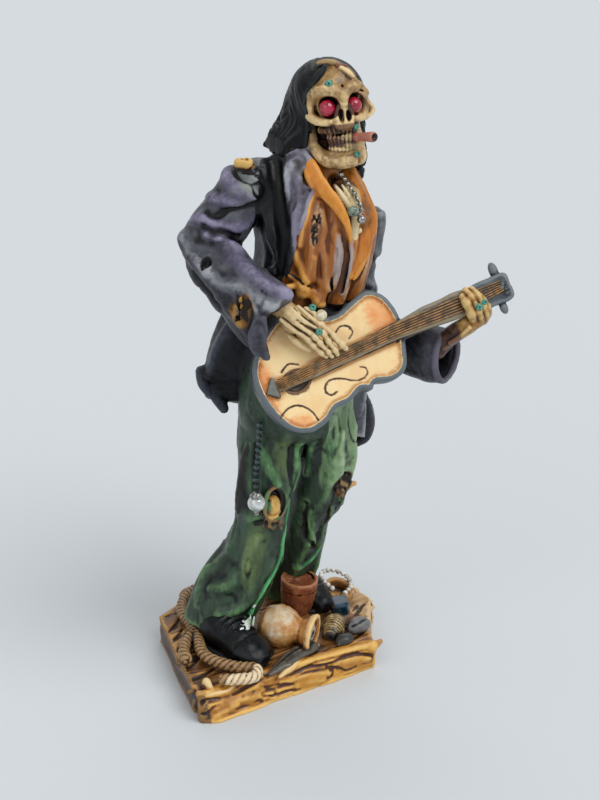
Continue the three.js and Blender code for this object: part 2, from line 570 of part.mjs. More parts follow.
function leftHand() {
  const fingers = [
    [[62, -12, -6], [67, -10.4, 0.5], [69.5, -4, 5.4], [71, 2, 6], [72, 5.4, 5]],
    [[66, -13, -6], [71.4, -10.6, 0.5], [73.6, -4, 5.6], [74.6, 2.4, 6], [75.4, 5.8, 5]],
    [[70, -13, -6], [75.4, -10.2, 0.5], [77.4, -4, 5.4], [77.4, 1, 5.8], [77, 4, 4.8]],
    [[73, -12, -6], [79, -9, 0], [80.6, -4.6, 4.6], [80.4, -1.6, 5], [79.6, 1.6, 4.6]],
  ];
  const pieces = fingers.map((points) => digit(points.map(onGuitar), 2.1));
  pieces.push(digit([[70, -11, -8], [77, -9, -7], [82, -6, -5], [84.5, -5, -2], [85, -3.6, 0]].map(onGuitar), 2));
  pieces.push(ellipsoid(onGuitar([68, -11, -6]), [7, 6, 5.4], { wide: 6, high: 4 }));
  pieces.push(bar(onGuitar([57, -15, -14]), onGuitar([65, -12, -7]), 4.4, 4.4, 6));
  return pieces;
}

// Things lying on the plank
const jugAxis = new THREE.Vector3(0.6, -0.78, -0.08).normalize();
const jugCentre = [-3, -14.5, 22.2];
const jugProfile = [
  [0, -10.5], [7, -8.4], [11, 0], [9, 6.4], [5.8, 11], [9.2, 16.4], [9.2, 18], [6.6, 18], [4, 12.4], [0, 11],
];

function turned(profile, centre, axis, sides) {
  const points = profile.map(([radius, height]) => new THREE.Vector2(radius, height));
  const geometry = new THREE.LatheGeometry(points, sides);
  geometry.applyQuaternion(new THREE.Quaternion().setFromUnitVectors(new THREE.Vector3(0, 1, 0), axis));
  return geometry.translate(...centre);
}

const barrelProfile = [[0, -2], [7.6, -2], [9.2, 13], [9.3, 19], [8, 19], [7.8, 18], [0, 18]];

function shell() {
  const ribbed = (angle, t) => [0.7 * Math.abs(Math.sin(4.5 * Math.PI * t)), 0];
  return limb([[17, -29, 15.8, 2.4, 2.4], [20.5, -26.5, 17, 4.8, 4.6], [25, -22.5, 17.6, 5.6, 5.2], [29, -19, 16.8, 3.6, 3.8]], {
    sides: 5, steps: 9, facing: upward, shape: ribbed,
  });
}

function props() {
  const stumpAxis = new THREE.Vector3(0.05, -0.3, 1).normalize();
  return [
    turned(jugProfile, jugCentre, jugAxis, 9),
    turned(barrelProfile, [20.6, 4.6, plankTop], new THREE.Vector3(0.06, -0.06, 1).normalize(), 9),
    turned([[0, -4], [8, -4], [8.6, 3], [7.4, 7], [5.6, 6.6], [0, 3.6]], [45.5, 5, plankTop - 1], stumpAxis, 8),
    shell(),
    ellipsoid([34.6, -29, 16.8], [7, 4.4, 4], { wide: 6, high: 4, turn: [0, 0.2, 0.5] }),
    box([-7.5, -33.6, 15.6], [31, 6.4, 3.4], [radians(14), 0, radians(17)]),
    ellipsoid([-17.5, 45, 15.6], [6, 5, 4.4], { wide: 6, high: 4 }),
  ];
}

// Pieces glued to the casting: the shape of each, and the room that the casting leaves for it
function looseBead(frame, place, radius) {
  const ball = (size) => (
    solid(ellipsoid(place, [size, size, size], { wide: 6, high: 4 })).transform(frame.toArray())
  );
  return { shape: ball(radius), room: ball(radius + glueGap) };
}

// Round beads run together along a line, in a tube of room
function strand(points, beadRadius, spacing) {
  const path = lineThrough(points);
  const count = Math.round(path.getLength() / spacing);
  const sized = (radius) => points.map((point) => [...point, radius]);
  const swelling = (angle, t) => [0.45 * beadRadius * (Math.sin(Math.PI * count * t) ** 2 - 1), 0];
  const beads = [limb(sized(beadRadius), { sides: 4, steps: 2 * count, shape: swelling })];
  return { beads, room: limb(sized(beadRadius + 2 * glueGap), { sides: 4, steps: 2 * points.length }) };
}

function glued(pieces, rooms) {
  return { shape: join(pieces.map(solid)), room: join(rooms.map(solid)) };
}

function necklace() {
  const chain = strand([[22.5, -27.5, 250], [24.2, -33.5, 244], [25.2, -38.4, 237.6], [23, -39.4, 234.4]], 1.3, 2.8);
  const hung = (grow) => [
    ellipsoid([21, -38.8, 236], [2.6 + grow, 1.8 + grow, 2.2 + grow], { wide: 6, high: 4 }),
    ellipsoid([22.4, -39.4, 233.4], [2.1 + grow, 2.1 + grow, 2.1 + grow], { wide: 6, high: 4 }),
  ];
  return glued([...chain.beads, ...hung(0)], [chain.room, ...hung(glueGap)]);
}

function pocketChain() {
  const [x, y, z] = chainPearlPlace;
  const chain = strand([[-12.6, -13.4, 133], [-13.4, -13, 119], [-14, -11.4, 108], [x + 0.5, y + 0.6, z + 4.6]], 1.8, 4.2);
  const hung = (grow) => [
    ellipsoid([x, y, z], [1, 1, 1].map((size) => size * (chainPearlRadius + grow)), { wide: 7, high: 4 }),
    bar([x, y, z + 2.6], [x + 0.4, y + 0.4, z + 5.4], 3.1 + grow, 1.6 + grow, 5),
    bar([x, y, z - 2.6], [x - 0.3, y - 0.4, z - 6.4], 1.5 + grow, 0.5 + grow, 4),
  ];
  return glued([...chain.beads, ...hung(0)], [chain.room, ...hung(glueGap)]);
}

function beadString() {
  const chain = strand([
    [39.5, 0, 22], [38.6, 6, 23.6], [41, 12, 24], [46, 14.4, 23.6], [51.4, 12, 22.6], [53.6, 5.6, 21],
    [51, -0.6, 19.4], [45.6, -3, 18.6],
  ], 1.5, 4);
  return glued(chain.beads, [chain.room]);
}

function crystal() {
  const block = (grow) => box([32.8, -15.6, 21.8], [9 + grow, 8.4 + grow, 9 + grow], [radians(12), radians(-6), radians(-22)]);
  return glued([block(0)], [block(2 * glueGap)]);
}

function guitar() {
  const room = [
    slab(outlineShape(-3 * glueGap), -guitarThickness - glueGap, 0.6 + glueGap),
    ...neckPieces(glueGap),
  ].map(solid);
  const shape = join([guitarBody(), ...neckPieces(0).map(solid)]).transform(guitarFrame.toArray());
  return { shape, room: join(room).transform(guitarFrame.toArray()) };
}

const loosePieces = {
  guitar: guitar(),
  eye_bead_right: looseBead(headFrame, eyePlace(-1), eyeRadius),
  eye_bead_left: looseBead(headFrame, eyePlace(1), eyeRadius),
  brow_bead: looseBead(headFrame, [-3, -16.6, 8.6], turquoiseRadius),
  lip_bead: looseBead(headFrame, [5.2, -18, -11.8], 1.6),
  chin_bead: looseBead(headFrame, [3.6, -18.4, -25], 1.7),
  right_hand_bead: looseBead(guitarFrame, [3.6, 24.9, 10.4], turquoiseRadius),
  right_hand_low_bead: looseBead(guitarFrame, [1.6, 14, 9.8], 1.9),
  hand_pearl: looseBead(guitarFrame, [5.6, 20.6, 10.4], pearlRadius),
  left_hand_bead: looseBead(guitarFrame, [74.6, -4, 8], turquoiseRadius),
  left_hand_side_bead: looseBead(guitarFrame, [79.4, -2.6, 7], 1.7),
  necklace: necklace(),
  pocket_chain: pocketChain(),
  bead_string: beadString(),
  crystal: crystal(),
};

// The casting is everything else in one solid
const castParts = [
  plank(), rope(ropeRoute), rope(ropeStub),
  shoe([-22.5, -30], [-30, 13], 9.4), shoe([31, -7], [29, 33], 7),
  ...trousers(), ...jacket(), ...shirt(), ...neck(), ...rightHand(), ...leftHand(), ...props(),
].map(solid);
const casting = cut(join([...castParts, skull(), hair()]), Object.values(loosePieces).map(({ room }) => room));

// Meshes
const finishes = {
  figure: ['#6b5a45', 0.6, 0],
  guitar: ['#f0d2a4', 0.5, 0],
  eye_bead_right: ['#b3203a', 0.2, 0],
  eye_bead_left: ['#b3203a', 0.2, 0],
  hand_pearl: ['#e8e2d0', 0.25, 0],
  necklace: ['#c9ccd0', 0.3, 1],
  pocket_chain: ['#27504f', 0.3, 0.2],
  bead_string: ['#e9e6df', 0.3, 0.3],
  crystal: ['#16324a', 0.15, 0],
};
const turquoiseFinish = ['#4fa08f', 0.35, 0];

function namedMesh(name, shape) {
  const drawn = shape.getMesh();
  const geometry = new THREE.BufferGeometry();
  geometry.setAttribute('position', new THREE.BufferAttribute(new Float32Array(drawn.vertProperties), 3));
  geometry.setIndex(new THREE.BufferAttribute(new Uint32Array(drawn.triVerts), 1));
  const [color, roughness, metalness] = finishes[name] ?? turquoiseFinish;
  const mesh = new THREE.Mesh(geometry, new THREE.MeshStandardMaterial({ color, roughness, metalness }));
  mesh.name = name;
  return mesh;
}

const figurine = new THREE.Group();
figurine.add(namedMesh('figure', casting));
for (const [name, { shape }] of Object.entries(loosePieces)) {
  figurine.add(namedMesh(name, shape));
}

export default figurine;
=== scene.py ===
import math

import bmesh
import bpy
import numpy as np
import openvdb
from mathutils import Matrix, Vector


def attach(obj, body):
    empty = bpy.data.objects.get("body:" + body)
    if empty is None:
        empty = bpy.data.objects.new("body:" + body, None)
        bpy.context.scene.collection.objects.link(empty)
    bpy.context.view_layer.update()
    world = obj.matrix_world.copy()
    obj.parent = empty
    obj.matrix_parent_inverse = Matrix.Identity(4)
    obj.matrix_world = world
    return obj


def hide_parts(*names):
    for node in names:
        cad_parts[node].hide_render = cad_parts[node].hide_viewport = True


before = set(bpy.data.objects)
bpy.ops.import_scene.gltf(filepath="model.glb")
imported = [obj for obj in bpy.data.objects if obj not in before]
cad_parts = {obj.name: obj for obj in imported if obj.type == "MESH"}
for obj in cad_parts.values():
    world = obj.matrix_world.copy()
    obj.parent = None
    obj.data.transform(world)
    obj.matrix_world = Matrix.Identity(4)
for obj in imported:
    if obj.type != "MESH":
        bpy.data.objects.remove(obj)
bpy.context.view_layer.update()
millimetre = 0.001


# Colours are written as the photo shows them and turned to linear light here
def colour(code):
    channels = [int(code[i : i + 2], 16) / 255 for i in (0, 2, 4)]
    return tuple(c / 12.92 if c <= 0.04045 else ((c + 0.055) / 1.055) ** 2.4 for c in channels) + (1.0,)


def array(points):
    return np.array(points, np.float64)


# Camera, at the photo's angle, looking a little down on the figure
view = {"place": (-0.4299, -0.6419, 0.4826), "turn": -35, "down": 24.093, "lens": 81, "film": 36}


def addCamera():
    turn, down = math.radians(view["turn"]), math.radians(view["down"])
    right = Vector((math.cos(turn), math.sin(turn), 0))
    ahead = Vector((-math.sin(turn) * math.cos(down), math.cos(turn) * math.cos(down), -math.sin(down)))
    data = bpy.data.cameras.new("camera")
    data.lens, data.sensor_width, data.sensor_fit = view["lens"], view["film"], "AUTO"
    data.clip_start, data.clip_end = 0.05, 20
    camera = bpy.data.objects.new("camera", data)
    facing = Matrix((right, right.cross(ahead), -ahead)).transposed().to_4x4()
    camera.matrix_world = Matrix.Translation(Vector(view["place"])) @ facing
    bpy.context.scene.collection.objects.link(camera)
    bpy.context.scene.camera = camera


# Pale floor and soft studio light: each softbox by its direction, spread in degrees and power
softboxes = {"key": ((0.3, -0.8, 1.15), 40, 1.5), "side": ((-0.95, -0.3, 0.6), 50, 0.45),
    "back": ((0.5, 0.7, 0.9), 50, 0.5)}


def addStudio():
    mesh = bpy.data.meshes.new("floor")
    mesh.from_pydata([(-4, -4, 0), (4, -4, 0), (4, 4, 0), (-4, 4, 0)], [], [(0, 1, 2, 3)])
    floor = bpy.data.objects.new("floor", mesh)
    bpy.context.scene.collection.objects.link(floor)
    paper, tree, shader = newFinish("pale paper")
    shader.inputs["Base Color"].default_value = colour("D3D8DC")
    shader.inputs["Roughness"].default_value = 1.0
    shader.inputs["Specular IOR Level"].default_value = 0.0
    mesh.materials.append(paper)
    world = bpy.data.worlds.new("studio")
    world.use_nodes = True
    sky = world.node_tree.nodes["Background"]
    sky.inputs["Color"].default_value = colour("F4F6F7")
    sky.inputs["Strength"].default_value = 0.5
    bpy.context.scene.world = world
    bpy.context.scene.view_settings.view_transform = "Standard"
    for name, (place, spread, power) in softboxes.items():
        data = bpy.data.lights.new(name, "SUN")
        data.energy, data.angle = power, math.radians(spread)
        light = bpy.data.objects.new(name, data)
        light.rotation_euler = (-Vector(place)).to_track_quat("-Z", "Y").to_euler()
        bpy.context.scene.collection.objects.link(light)


def newFinish(name):
    material = bpy.data.materials.new(name)
    material.use_nodes = True
    return material, material.node_tree, material.node_tree.nodes["Principled BSDF"]


addCamera()
addStudio()
print("camera and studio made")


# A curve through four neighbouring points, at a share w of the way from the second to the third
def between(a, b, c, d, w):
    leave, arrive = 0.5 * (c - a), 0.5 * (d - b)
    square, cube = 3 * c - 3 * b - 2 * leave - arrive, 2 * b - 2 * c + leave + arrive
    return b + w * leave + w**2 * square + w**3 * cube


# Smooth line through points, the same one that the solids use
def splineAt(points, t):
    points = array(points)
    last = len(points) - 1
    place = np.clip(np.asarray(t, np.float64), 0, 1) * last
    first = np.minimum(place.astype(int), last - 1)
    before, after = (first > 0)[..., None], (first + 2 <= last)[..., None]
    a = np.where(before, points[np.maximum(first - 1, 0)], 2 * points[0] - points[1])
    d = np.where(after, points[np.minimum(first + 2, last)], 2 * points[-1] - points[-2])
    return between(a, points[first], points[first + 1], d, (place - first)[..., None])


def unit(vectors):
    return vectors / np.maximum(np.linalg.norm(vectors, axis=-1, keepdims=True), 1e-9)


def ramp(value, start, end):
    return np.clip((value - start) / (end - start), 0, 1)


# Faces between rings of points that follow one another, the last ring joined to the first where they close
def ringFaces(rings, sides, closed=False):
    s, k = np.meshgrid(np.arange(rings if closed else rings - 1), np.arange(sides), indexing="ij")
    n, t = (k + 1) % sides, (s + 1) % rings
    return s * sides + k, s * sides + n, t * sides + n, t * sides + k


# Rings closed by a fan at each end; the last two points are the middles of the ends
def cappedFaces(rings, sides):
    k = np.arange(sides)
    n = (k + 1) % sides
    start, far = rings * sides, (rings - 1) * sides
    caps = [np.stack([np.full(sides, start), n, k], -1), np.stack([np.full(sides, start + 1), far + k, far
        + n], -1)]
    return np.stack(ringFaces(rings, sides), -1).reshape(-1, 4), np.vstack(caps)


# An oval swept along stations of x, y, z, half width and half depth, closed at both ends
def limb(stations, sides=48, steps=60, facing=(0, -1, 0), shape=None):
    t = np.linspace(0, 1, steps + 1)
    path = [s[:3] for s in stations]
    centre, size = splineAt(path, t), splineAt([s[3:5] for s in stations], t)
    along = unit(splineAt(path, t + 1e-4) - splineAt(path, t - 1e-4))
    front = unit(array(facing) - along * (along @ array(facing))[:, None])
    across = np.cross(front, along)
    angle = np.tile(np.linspace(0, 2 * math.pi, sides, endpoint=False), (steps + 1, 1))
    out, lift = shape(angle, np.tile(t[:, None], (1, sides))) if shape else (0 * angle, 0 * angle)
    ring = (
        centre[:, None]
        + across[:, None] * (np.cos(angle) * (size[:, 0:1] + out))[..., None]
        + front[:, None] * (np.sin(angle) * (size[:, 1:2] + out))[..., None]
        + along[:, None] * lift[..., None]
    )
    points = np.vstack([ring.reshape(-1, 3), ring[0].mean(0), ring[-1].mean(0)])
    return points, *cappedFaces(steps + 1, sides)


def softMin(a, b, blend):
    if blend <= 0:
        return np.minimum(a, b)
    h = np.clip(0.5 + 0.5 * (b - a) / blend, 0, 1)
    return b + (a - b) * h - blend * h * (1 - h)


# Smooth random values on a grid, one cell of noise spanning so many voxels on each axis
def gridNoise(shape, cells, seed):
    sizes = [int(math.ceil(n / c)) + 3 for n, c in zip(shape, cells)]
    values = np.random.default_rng(seed).random(sizes, dtype=np.float32) * 2 - 1
    for axis, (count, cell) in enumerate(zip(shape, cells)):
        place = np.arange(count, dtype=np.float32) / cell
        low = place.astype(int)
        part = place - low
        part = (part * part * (3 - 2 * part)).reshape([-1 if a == axis else 1 for a in range(3)])
        before, after = np.take(values, low, axis), np.take(values, low + 1, axis)
        values = before + (after - before) * part
    return values


# The mean over a cube of voxels around each one
def boxBlur(values, radius):
    for axis in range(3):
        count = values.shape[axis]
        ends = [np.take(values, [end], axis) for end in (0, -1)]
        padded = [np.repeat(ends[0], radius + 1, axis), values, np.repeat(ends[1], radius, axis)]
        total = np.cumsum(np.concatenate(padded, axis), axis, dtype=np.float32)
        high = np.take(total, range(2 * radius + 1, 2 * radius + 1 + count), axis)
        values = (high - np.take(total, range(count), axis)) / (2 * radius + 1)
    return values


def perPoint(radii, count):
    return array(radii if hasattr(radii, "__len__") else [radii] * count)


# A block of clay: signed distances on a grid in millimetres, added to, carved and then skinned
class Clay:
    def __init__(self, low, high, voxel, reach=4.0):
        self.low, self.voxel, self.reach = array(low), voxel, reach
        self.shape = tuple(int(math.ceil((h - l) / voxel)) + 1 for l, h in zip(low, high))
        self.field = np.full(self.shape, reach, np.float32)
        self.masks = {}

    # The part of the grid inside a box, and the places of its voxels on each axis
    def window(self, low, high):
        spans = []
        for l, h, origin, count in zip(low, high, self.low, self.shape):
            first = min(max(0, int((l - origin) / self.voxel)), count)
            spans.append(slice(first, max(first, min(count, int((h - origin) / self.voxel) + 2))))
        axes = [o + self.voxel * np.arange(s.start, s.stop, dtype=np.float32) for o,
            s in zip(self.low, spans)]
        x, y, z = (a.astype(np.float32) for a in axes)
        return tuple(spans), x[:, None, None], y[None, :, None], z[None, None, :]

    def places(self):
        return self.window(self.low, self.low + self.voxel * array(self.shape))[1:]

    # A zone of its own paint, by how strongly it lies at each voxel
    def zone(self, name, strength):
        self.masks[name] = np.broadcast_to(strength, self.shape).astype(np.float32)

    # Clay is kept only where the given values are below nought
    def trim(self, outside):
        self.field = np.maximum(self.field, outside).astype(np.float32)

    def blend(self, spans, near, blend, carve=False, mask=None, spread=0.5):
        here = self.field[spans]
        if blend is not None:
            self.field[spans] = -softMin(-here, near, blend) if carve else softMin(here, near, blend)
        if mask:
            layer = self.masks.setdefault(mask, np.zeros(self.shape, np.float32))
            layer[spans] = np.maximum(layer[spans], np.clip(0.85 - near / spread, 0, 1))

    # A closed mesh
    def mesh(self, model, blend=0.0, carve=False, mask=None, grow=0.0, spread=0.5):
        points, quads, caps = model
        grid = openvdb.FloatGrid.createLevelSetFromPolygons(
            ((points - self.low) / self.voxel).astype(np.float32),
            triangles=caps.astype(np.uint32), quads=quads.astype(np.uint32),
            transform=openvdb.createLinearTransform(1.0), halfWidth=self.reach / self.voxel,
        )
        near = np.empty(self.shape, np.float32)
        grid.copyToArray(near)
        self.blend(..., near * self.voxel - grow, blend, carve, mask, spread)

    # A rounded stroke along points, with its radius at each
    def stroke(self, points, radii, blend=1.0, carve=False, mask=None, smooth=0, spread=0.5):
        points, radii = array(points), perPoint(radii, len(points))
        if smooth:
            t = np.linspace(0, 1, smooth)
            points, radii = splineAt(points, t), np.interp(t, np.linspace(0, 1, len(radii)), radii)
        pad = radii.max() + self.reach
        spans, x, y, z = self.window(points.min(0) - pad, points.max(0) + pad)
        near = np.full((x.size, y.size, z.size), self.reach, np.float32)
        for a, b, ra, rb in zip(points[:-1], points[1:], radii[:-1], radii[1:]):
            inner, x, y, z = self.window(np.minimum(a, b) - pad, np.maximum(a, b) + pad)
            if 0 in (x.size, y.size, z.size):
                continue
            step = (b - a).astype(np.float32)
            dx, dy, dz = x - np.float32(a[0]), y - np.float32(a[1]), z - np.float32(a[2])
            t = np.clip((dx * step[0] + dy * step[1] + dz * step[2]) / max(float(step @ step), 1e-9), 0, 1)
            gap = np.sqrt((dx - t * step[0]) ** 2 + (dy - t * step[1]) ** 2 + (dz - t * step[2]) ** 2)
            gap -= np.float32(ra) + t * np.float32(rb - ra)
            part = tuple(slice(i.start - s.start, i.stop - s.start) for i, s in zip(inner, spans))
            near[part] = np.minimum(near[part], gap)
        self.blend(spans, near, blend, carve, mask, spread)

    # An ellipsoid, turned by a 3x3 matrix whose rows are its own axes
    def lump(self, centre, radii, blend=1.0, carve=False, mask=None, axes=None, spread=0.5):
        centre, radii = array(centre), array(radii)
        pad = radii.max() + self.reach
        spans, x, y, z = self.window(centre - pad, centre + pad)
        if 0 in (x.size, y.size, z.size):
            return
        dx, dy, dz = (v - np.float32(c) for v, c in zip((x, y, z), centre))
        rows = np.eye(3) if axes is None else array(axes)
        local = [np.float32(r[0]) * dx + np.float32(r[1]) * dy + np.float32(r[2]) * dz for r in rows]
        scaled = np.sqrt(sum((v / np.float32(r)) ** 2 for v, r in zip(local, radii)))
        slope = np.sqrt(sum((v / np.float32(r * r)) ** 2 for v, r in zip(local, radii)))
        near = scaled * (scaled - 1) / np.maximum(slope, 1e-6)
        self.blend(spans, np.clip(near, -self.reach, self.reach), blend, carve, mask, spread)

    # Points drawn onto the surface and then pushed in by a depth at each
    def settle(self, points, depth):
        points = array(points)
        for turn in range(4):
            places = (points - self.low) / self.voxel
            rises = [self.sample(self.field, places + s) - self.sample(self.field, places - s)
                for s in np.eye(3)]
            slope = np.stack(rises, -1)
            size = np.linalg.norm(slope, axis=-1, keepdims=True)
            normal = np.where(size > 0.05, slope / np.maximum(size, 1e-6), 0)
            if turn < 3:
                points = points - normal * np.clip(self.sample(self.field, places), -3, 3)[:, None]
        return points - normal * array(depth)[:, None]

    # A fold or crease that follows the surface, rising or sinking by a share of its radius
    def fold(self, points, radii, rise=0.45, blend=2.0, carve=False, mask=None, spread=0.8):
        radii = perPoint(radii, len(points))
        t = np.linspace(0, 1, 6 * len(points))
        radii = np.interp(t, np.linspace(0, 1, len(radii)), radii)
        points = self.settle(splineAt(points, t), radii * (1 - 2 * rise) * (-1 if carve else 1))
        self.stroke(points, radii, blend, carve, mask, 0, spread)

    # The same three shapes, carved out of the clay
    def groove(self, *form, **how):
        self.stroke(*form, carve=True, **how)

    def scoop(self, *form, **how):
        self.lump(*form, carve=True, **how)

    def crack(self, *form, **how):
        self.fold(*form, carve=True, **how)

    # Uneven surface: cell size in millimetres on each axis, and its height
    def roughen(self, cell, height, seed):
        cells = [c / self.voxel for c in perPoint(cell, 3)]
        self.field += np.float32(height) * gridNoise(self.shape, cells, seed)

    # Thin wandering creases, where smooth noise changes sign
    def crease(self, cell, width, depth, seed):
        noise, gaps = (gridNoise(self.shape, [k * c / self.voxel for c in cell], seed + k) for k in (1, 2))
        self.field += np.float32(depth) * np.exp(-((noise / width) ** 2)) * np.clip(2 * gaps + 0.4, 0, 1)

    def sample(self, values, places):
        low = np.clip(places.astype(int), 0, array(self.shape).astype(int) - 2)
        w = (places - low).astype(np.float32)
        total = np.zeros(len(places), np.float32)
        for corner in np.ndindex(2, 2, 2):
            share = np.prod([w[:, a] if c else 1 - w[:, a] for a, c in enumerate(corner)], axis=0)
            total += share * values[low[:, 0] + corner[0], low[:, 1] + corner[1], low[:, 2] + corner[2]]
        return total

    # The skinned mesh as a piece, with its raised edges and hollows kept as attributes for the paint
    def skin(self, name, material, place=None, fine=0.9, wide=3.0, node="figure", thin=0.0):
        grid = openvdb.FloatGrid(self.reach / self.voxel)
        grid.copyFromArray(np.ascontiguousarray(self.field / self.voxel))
        points, triangles, quads = grid.convertToPolygons(0.0, thin)
        clipped = np.clip(self.field, -2, 2)
        bends = [boxBlur(clipped, max(1, round(size / self.voxel))) for size in (fine, wide)]
        sharp, broad = (self.sample(b, points) for b in bends)
        layers = {
            "edge": np.clip(sharp / (0.22 * fine), 0, 1), "hollow": np.clip(-sharp / (0.22 * fine), 0, 1),
            "crest": np.clip(broad / (0.3 * wide), 0, 1), "pocket": np.clip(-broad / (0.3 * wide), 0, 1),
        }
        for mask, values in self.masks.items():
            layers[mask] = self.sample(values, points)
        points = points * self.voxel + self.low
        if place is not None:
            points = placed(points, place)
        return addPiece(name, points, [quads, triangles], material, layers, node)


# Every piece rides on the one body and stands for a CAD node, whose own part is hidden
def joinFrame(piece, node):
    bpy.context.scene.collection.objects.link(piece)
    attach(piece, "root")
    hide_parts(node)


# A piece from points in millimetres and lists of faces, turned outward where they face in
def addPiece(name, points, faces, material, layers=None, node="figure"):
    faces = [array(f).astype(np.int32).reshape(len(f), -1) for f in faces if len(f)]
    mesh = bpy.data.meshes.new(name)
    sizes = np.concatenate([np.full(len(f), f.shape[1]) for f in faces])
    a, b, c = (points[faces[0][:, i]] for i in range(3))
    outward = np.einsum("ij,ij->i", a - points.mean(0), np.cross(b - points.mean(0),
        c - points.mean(0))).sum() >= 0
    loops = np.concatenate([(f if outward else f[:, ::-1]).reshape(-1) for f in faces])
    mesh.vertices.add(len(points))
    mesh.vertices.foreach_set("co", (points * millimetre).astype(np.float32).reshape(-1))
    mesh.loops.add(len(loops))
    mesh.loops.foreach_set("vertex_index", loops)
    mesh.polygons.add(len(sizes))
    mesh.polygons.foreach_set("loop_start", np.concatenate([[0], np.cumsum(sizes)[:-1]]).astype(np.int32))
    mesh.polygons.foreach_set("use_smooth", np.full(len(sizes), True))
    for layer, values in (layers or {}).items():
        mesh.attributes.new(layer, "FLOAT", "POINT").data.foreach_set("value", values.astype(np.float32))
    mesh.update(calc_edges=True)
    mesh.validate()
    mesh.materials.append(material)
    joinFrame(bpy.data.objects.new(name, mesh), node)
    print(name, len(points), "points", int((sizes - 2).sum()), "triangles")


# One node, its inputs given as values or as links; the output asked for is handed back
def addNode(tree, kind, inputs, output=0, **settings):
    made = tree.nodes.new(kind)
    for name, value in settings.items():
        setattr(made, name, value)
    for name, value in inputs.items():
        if isinstance(value, bpy.types.NodeSocket):
            tree.links.new(value, made.inputs[name])
        else:
            made.inputs[name].default_value = value
    return made.outputs[output] if made.outputs else made


# The four paints of a coat: shade, base, light and wash, with how strongly each lies where that differs
def paints(codes, **strength):
    return dict(zip(("shade", "base", "light", "wash"), codes.split()), **strength)


# Patches of noise in millimetres; they let each finish vary over the surface as brushed paint does
def speckle(tree, size, detail, stretch=None):
    where = addNode(tree, "ShaderNodeTexCoord", {}, "Object")
    if stretch:
        where = addNode(tree, "ShaderNodeMapping", {"Vector": where, "Scale": stretch})
    pattern = {"Vector": where, "Scale": 1 / (size * millimetre), "Detail": detail, "Roughness": 0.6}
    return addNode(tree, "ShaderNodeTexNoise", pattern)


# A colour laid over another where a value lies between low and high, up to the given share
def layColour(tree, under, over, value, low, high, most=1.0):
    span = {"Value": value, "From Min": low, "From Max": high, "To Max": most}
    share = addNode(tree, "ShaderNodeMapRange", span, interpolation_type="SMOOTHSTEP")
    return addNode(tree, "ShaderNodeMix", {0: share, 6: under, 7: over}, 2, data_type="RGBA")


# Roughness that varies a little round a mean, and a fine relief, as on paint laid by hand
def roughAndRaised(tree, shader, cloud, low, high, height, bump, depth):
    span = {"Value": cloud, "From Min": 0.3, "From Max": 0.7, "To Min": low, "To Max": high}
    rough = addNode(tree, "ShaderNodeMapRange", span, interpolation_type="SMOOTHSTEP")
    tree.links.new(rough, shader.inputs["Roughness"])
    if bump:
        relief = addNode(tree, "ShaderNodeBump", {"Height": height, "Strength": bump, "Distance": depth})
        tree.links.new(relief, shader.inputs["Normal"])


# Cast resin painted in a shade and a base colour, dry-brushed light on edges and washed dark in hollows.
# Each zone is painted over the last, where its attribute lies
def paintedResin(name, paint, zones):
    material, tree, shader = newFinish(name)
    broad = speckle(tree, paint.get("mottle", 14), 4, paint.get("stretch"))
    small = speckle(tree, paint.get("grain", 2.2), 6, paint.get("stretch"))
    tiny = speckle(tree, 0.5, 3)
    layers = {layer: addNode(tree, "ShaderNodeAttribute", {}, "Fac", attribute_name=layer)
              for layer in ("edge", "hollow", "crest", "pocket", *zones)}
    worn = addNode(tree, "ShaderNodeMath", {0: small, 1: 0.9, 2: -0.45}, operation="MULTIPLY_ADD")
    stain = addNode(tree, "ShaderNodeMath", {0: broad, 1: 0.8, 2: -0.36}, operation="MULTIPLY_ADD")

    def coat(tones):
        levels = []
        for (fine, most), (wide, some), uneven in (
                (("edge", 0.8), ("crest", 0.5), worn), (("hollow", 0.9), ("pocket", 0.6), stain)):
            share = {0: layers[fine], 1: tones.get(fine, most)}
            level = addNode(tree, "ShaderNodeMath", share, operation="MULTIPLY")
            share = {0: layers[wide], 1: tones.get(wide, some), 2: level}
            level = addNode(tree, "ShaderNodeMath", share, operation="MULTIPLY_ADD")
            levels.append(addNode(tree, "ShaderNodeMath", {0: level, 1: uneven}, operation="ADD"))
        tone = layColour(tree, colour(tones["shade"]), colour(tones["base"]), broad, 0.36, 0.62)
        if "tint" in tones:
            tone = layColour(tree, tone, colour(tones["tint"]), small, 0.5, 0.68, 0.7)
        tone = layColour(tree, tone, colour(tones["light"]), levels[0], 0.06, 0.8)
        return layColour(tree, tone, colour(tones["wash"]), levels[1], 0.08, 0.75)

    tone = coat(paint)
    for zone, tones in zones.items():
        patch = addNode(tree, "ShaderNodeMath", {0: layers[zone], 1: 0.55}, operation="SUBTRACT")
        for cloud, share in ((broad, 0.5), (small, 0.6)):
            patch = addNode(tree, "ShaderNodeMath", {0: cloud, 1: share, 2: patch}, operation="MULTIPLY_ADD")
        tone = layColour(tree, tone, coat(tones), patch, 0.28, 0.7)
    tree.links.new(tone, shader.inputs["Base Color"])
    shader.inputs["Coat Weight"].default_value = paint.get("varnish", 0.1)
    shader.inputs["Specular IOR Level"].default_value = paint.get("gloss", 0.4)
    shader.inputs["Coat Roughness"].default_value = 0.25
    height = addNode(tree, "ShaderNodeMath", {0: tiny, 1: 0.35, 2: small}, operation="MULTIPLY_ADD")
    rough = paint.get("rough", 0.42)
    roughAndRaised(tree, shader, small, rough - 0.08, rough + 0.12, height, paint.get("bump", 0.25), 0.0006)
    return material


def turned(axis, degrees):
    return array(Matrix.Rotation(math.radians(degrees), 3, axis))


# A frame of a part's own: how it is turned, and where its origin lies
def partPlace(turns, origin):
    place = np.eye(4)
    for axis, degrees in turns:
        place[:3, :3] = place[:3, :3] @ turned(axis, degrees)
    place[:3, 3] = origin
    return place


